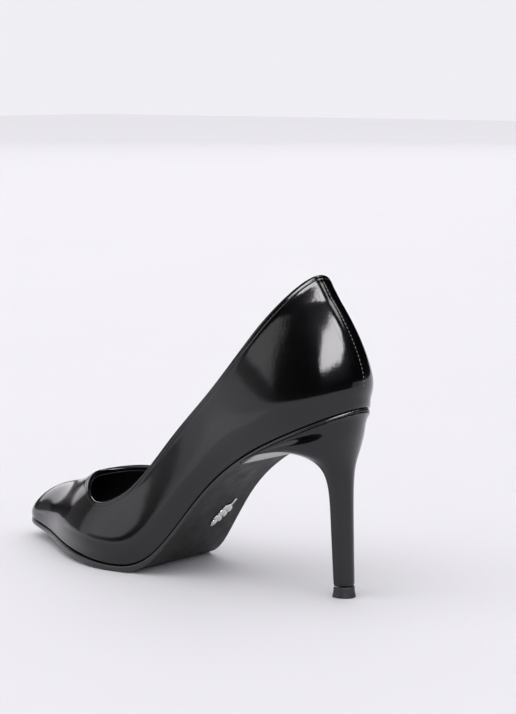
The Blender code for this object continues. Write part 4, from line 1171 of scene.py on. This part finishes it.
def glow_material(name, first, last):
    """Light whose strength runs between two azimuths, each given as (degrees, strength)."""
    material = bpy.data.materials.new(name)
    material.use_nodes = True
    tree = material.node_tree
    tree.nodes.clear()
    place, split, turn, out = (
        add_node(tree, kind) for kind in ("TexCoord", "SeparateXYZ", "Math", "OutputMaterial"))
    turn.operation = "ARCTAN2"
    run = add_node(tree, "MapRange", From_Min=math.radians(first[0]), From_Max=math.radians(last[0]),
                   To_Min=first[1], To_Max=last[1])
    glow = add_node(tree, "Emission", Color=(1.0, 0.985, 1.02, 1.0))
    tree.links.new(place.outputs["Object"], split.inputs["Vector"])
    tree.links.new(split.outputs["Y"], turn.inputs[0])
    tree.links.new(split.outputs["X"], turn.inputs[1])
    tree.links.new(turn.outputs["Value"], run.inputs["Value"])
    tree.links.new(run.outputs["Result"], glow.inputs["Strength"])
    tree.links.new(glow.outputs["Emission"], out.inputs["Surface"])
    return material


def round_the_shoe(azimuth, elevation, reach, height):
    a = math.radians(azimuth)
    e = math.radians(elevation)
    flat = reach * math.cos(e)
    return flat * math.cos(a), flat * math.sin(a), reach * math.sin(e) + height


def only_reflected(item):
    item.visible_camera = False
    item.visible_diffuse = False
    item.visible_shadow = False


def patch(name, lines, first, last):
    """A lit card of strips that bends round the shoe and shows only in reflections.

    Each line is an azimuth with its lowest and highest elevation, in degrees."""
    points = []
    for azimuth, low, high in lines:
        points.append(round_the_shoe(azimuth, low, CARD_REACH, SHOE_MIDDLE))
        points.append(round_the_shoe(azimuth, high, CARD_REACH, SHOE_MIDDLE))
    faces = [(2 * i, 2 * i + 2, 2 * i + 3, 2 * i + 1) for i in range(len(lines) - 1)]
    only_reflected(stage_mesh(name, points, faces, glow_material(name, first, last)))


def floor_pool(name, azimuths, near, far, strength):
    """A brighter pool of light on the floor, seen only in reflections."""
    points = []
    for azimuth in azimuths:
        for reach in (near, far):
            points.append(round_the_shoe(azimuth, 0.0, reach, POOL_LEVEL))
    faces = [(2 * i, 2 * i + 1, 2 * i + 3, 2 * i + 2) for i in range(len(azimuths) - 1)]
    even = glow_material(name, (azimuths[0], strength), (azimuths[-1], strength))
    only_reflected(stage_mesh(name, points, faces, even))


patch("side_wall", [(21.0, 0.0, 50.0), (30.0, -1.0, 60.0), (42.0, -1.0, 64.0), (62.0, -1.0, 66.0),
                    (68.0, 4.0, 68.0), (83.0, 19.0, 69.0), (98.0, 34.0, 70.0), (112.0, 46.0, 62.0)],
      (22.0, 0.65), (48.0, 1.3))
patch("wall_rim", [(62.0, -1.0, 2.0), (68.0, 4.0, 9.0), (83.0, 19.0, 24.0), (98.0, 34.0, 39.0)],
      (60.0, 0.3), (98.0, 0.3))
patch("toe_card", [(-62.0, 2.0, 30.0), (-40.0, 5.0, 36.0), (-22.0, 7.5, 36.0), (-8.0, 8.0, 24.0)],
      (-50.0, 2.0), (-8.0, 1.3))
patch("dim_gap", [(-6.0, 0.0, 20.0), (8.0, 0.0, 20.0), (21.0, 0.0, 50.0)], (-6.0, 0.15), (21.0, 0.2))
patch("window_box", [(115.0, 18.5, 20.5), (121.0, 20.0, 28.0), (135.0, 24.0, 40.0), (157.0, 29.0, 47.0),
                     (179.0, 37.0, 51.0)], (115.0, 13.0), (179.0, 13.0))
patch("window_end", [(-180.0, 37.5, 51.0), (-160.0, 45.0, 50.0)], (-180.0, 13.0), (-160.0, 13.0))
patch("fill_box", [(-140.0, 40.0, 62.0), (-105.0, 40.0, 66.0), (-75.0, 38.0, 62.0)],
      (-140.0, 5.0), (-75.0, 5.0))
floor_pool("floor_pool", (2.0, 20.0, 40.0, 60.0, 74.0), 0.2, 0.45, 1.1)

# Painted shade seen only in reflections: a dim glowing sheet just over the floor, with a low wall at its near
# edge. The table gives the azimuth and the distance from the heel at which it starts.
SHADE_SHEET_START = ((34.0, 1.3), (46.0, 1.2), (58.0, 1.1), (70.0, 0.95), (80.0, 0.8), (91.0, 0.68), (101.0, 0.6),
             (112.0, 0.54), (125.0, 0.49), (139.0, 0.46), (157.0, 0.44), (175.0, 0.43), (190.0, 0.43),
             (205.0, 0.45))
dark = []
for azimuth, reach in SHADE_SHEET_START:
    a = math.radians(azimuth)
    for far, height in ((FLOOR_REACH, DARK_LEVEL), (reach, DARK_LEVEL), (reach, DARK_HEIGHT)):
        dark.append((far * math.cos(a) + HEEL_PLACE[0], far * math.sin(a) + HEEL_PLACE[1], height))
strips = []
for i in range(len(SHADE_SHEET_START) - 1):
    for k in (0, 1):
        strips.append((3 * i + k, 3 * i + k + 1, 3 * i + k + 4, 3 * i + k + 3))
# Painted shade: in reflections the sheet stands in for the bright floor. It glows at 0.6 at 34 degrees and
# falls to 0.02 from 74 degrees on.
only_reflected(stage_mesh("painted_shade_sheet", dark, strips, glow_material("painted_shade_sheet", (34.0, 0.6), (74.0, 0.02))))

world = bpy.data.worlds.new("studio")
bpy.context.scene.world = world
world.use_nodes = True
background = world.node_tree.nodes["Background"]
background.inputs["Color"].default_value = (0.868, 0.86, 0.892, 1.0)
background.inputs["Strength"].default_value = 1.0
world.cycles_visibility.glossy = False

sun = bpy.data.objects.new("overhead_light", bpy.data.lights.new("overhead_light", "SUN"))
bpy.context.scene.collection.objects.link(sun)
sun.data.energy = 0.75
sun.data.angle = math.radians(70.0)
sun.rotation_euler = (math.radians(-18.0), math.radians(12.0), 0.0)
sun.visible_glossy = False

CAMERA_PLACE = Vector((-0.7192, 0.7859, 0.2482))
CAMERA_TARGET = Vector((-0.0328, -0.0175, 0.1079))
camera = bpy.data.objects.new("camera", bpy.data.cameras.new("camera"))
bpy.context.scene.collection.objects.link(camera)
bpy.context.scene.camera = camera
camera.data.lens = 107.08
camera.data.sensor_width = 36.0
camera.location = CAMERA_PLACE
camera.rotation_mode = "QUATERNION"
camera.rotation_quaternion = (CAMERA_TARGET - CAMERA_PLACE).to_track_quat("-Z", "Y")
camera.data.clip_start = 0.05
camera.data.clip_end = 60.0

bpy.context.scene.view_settings.view_transform = "Standard"
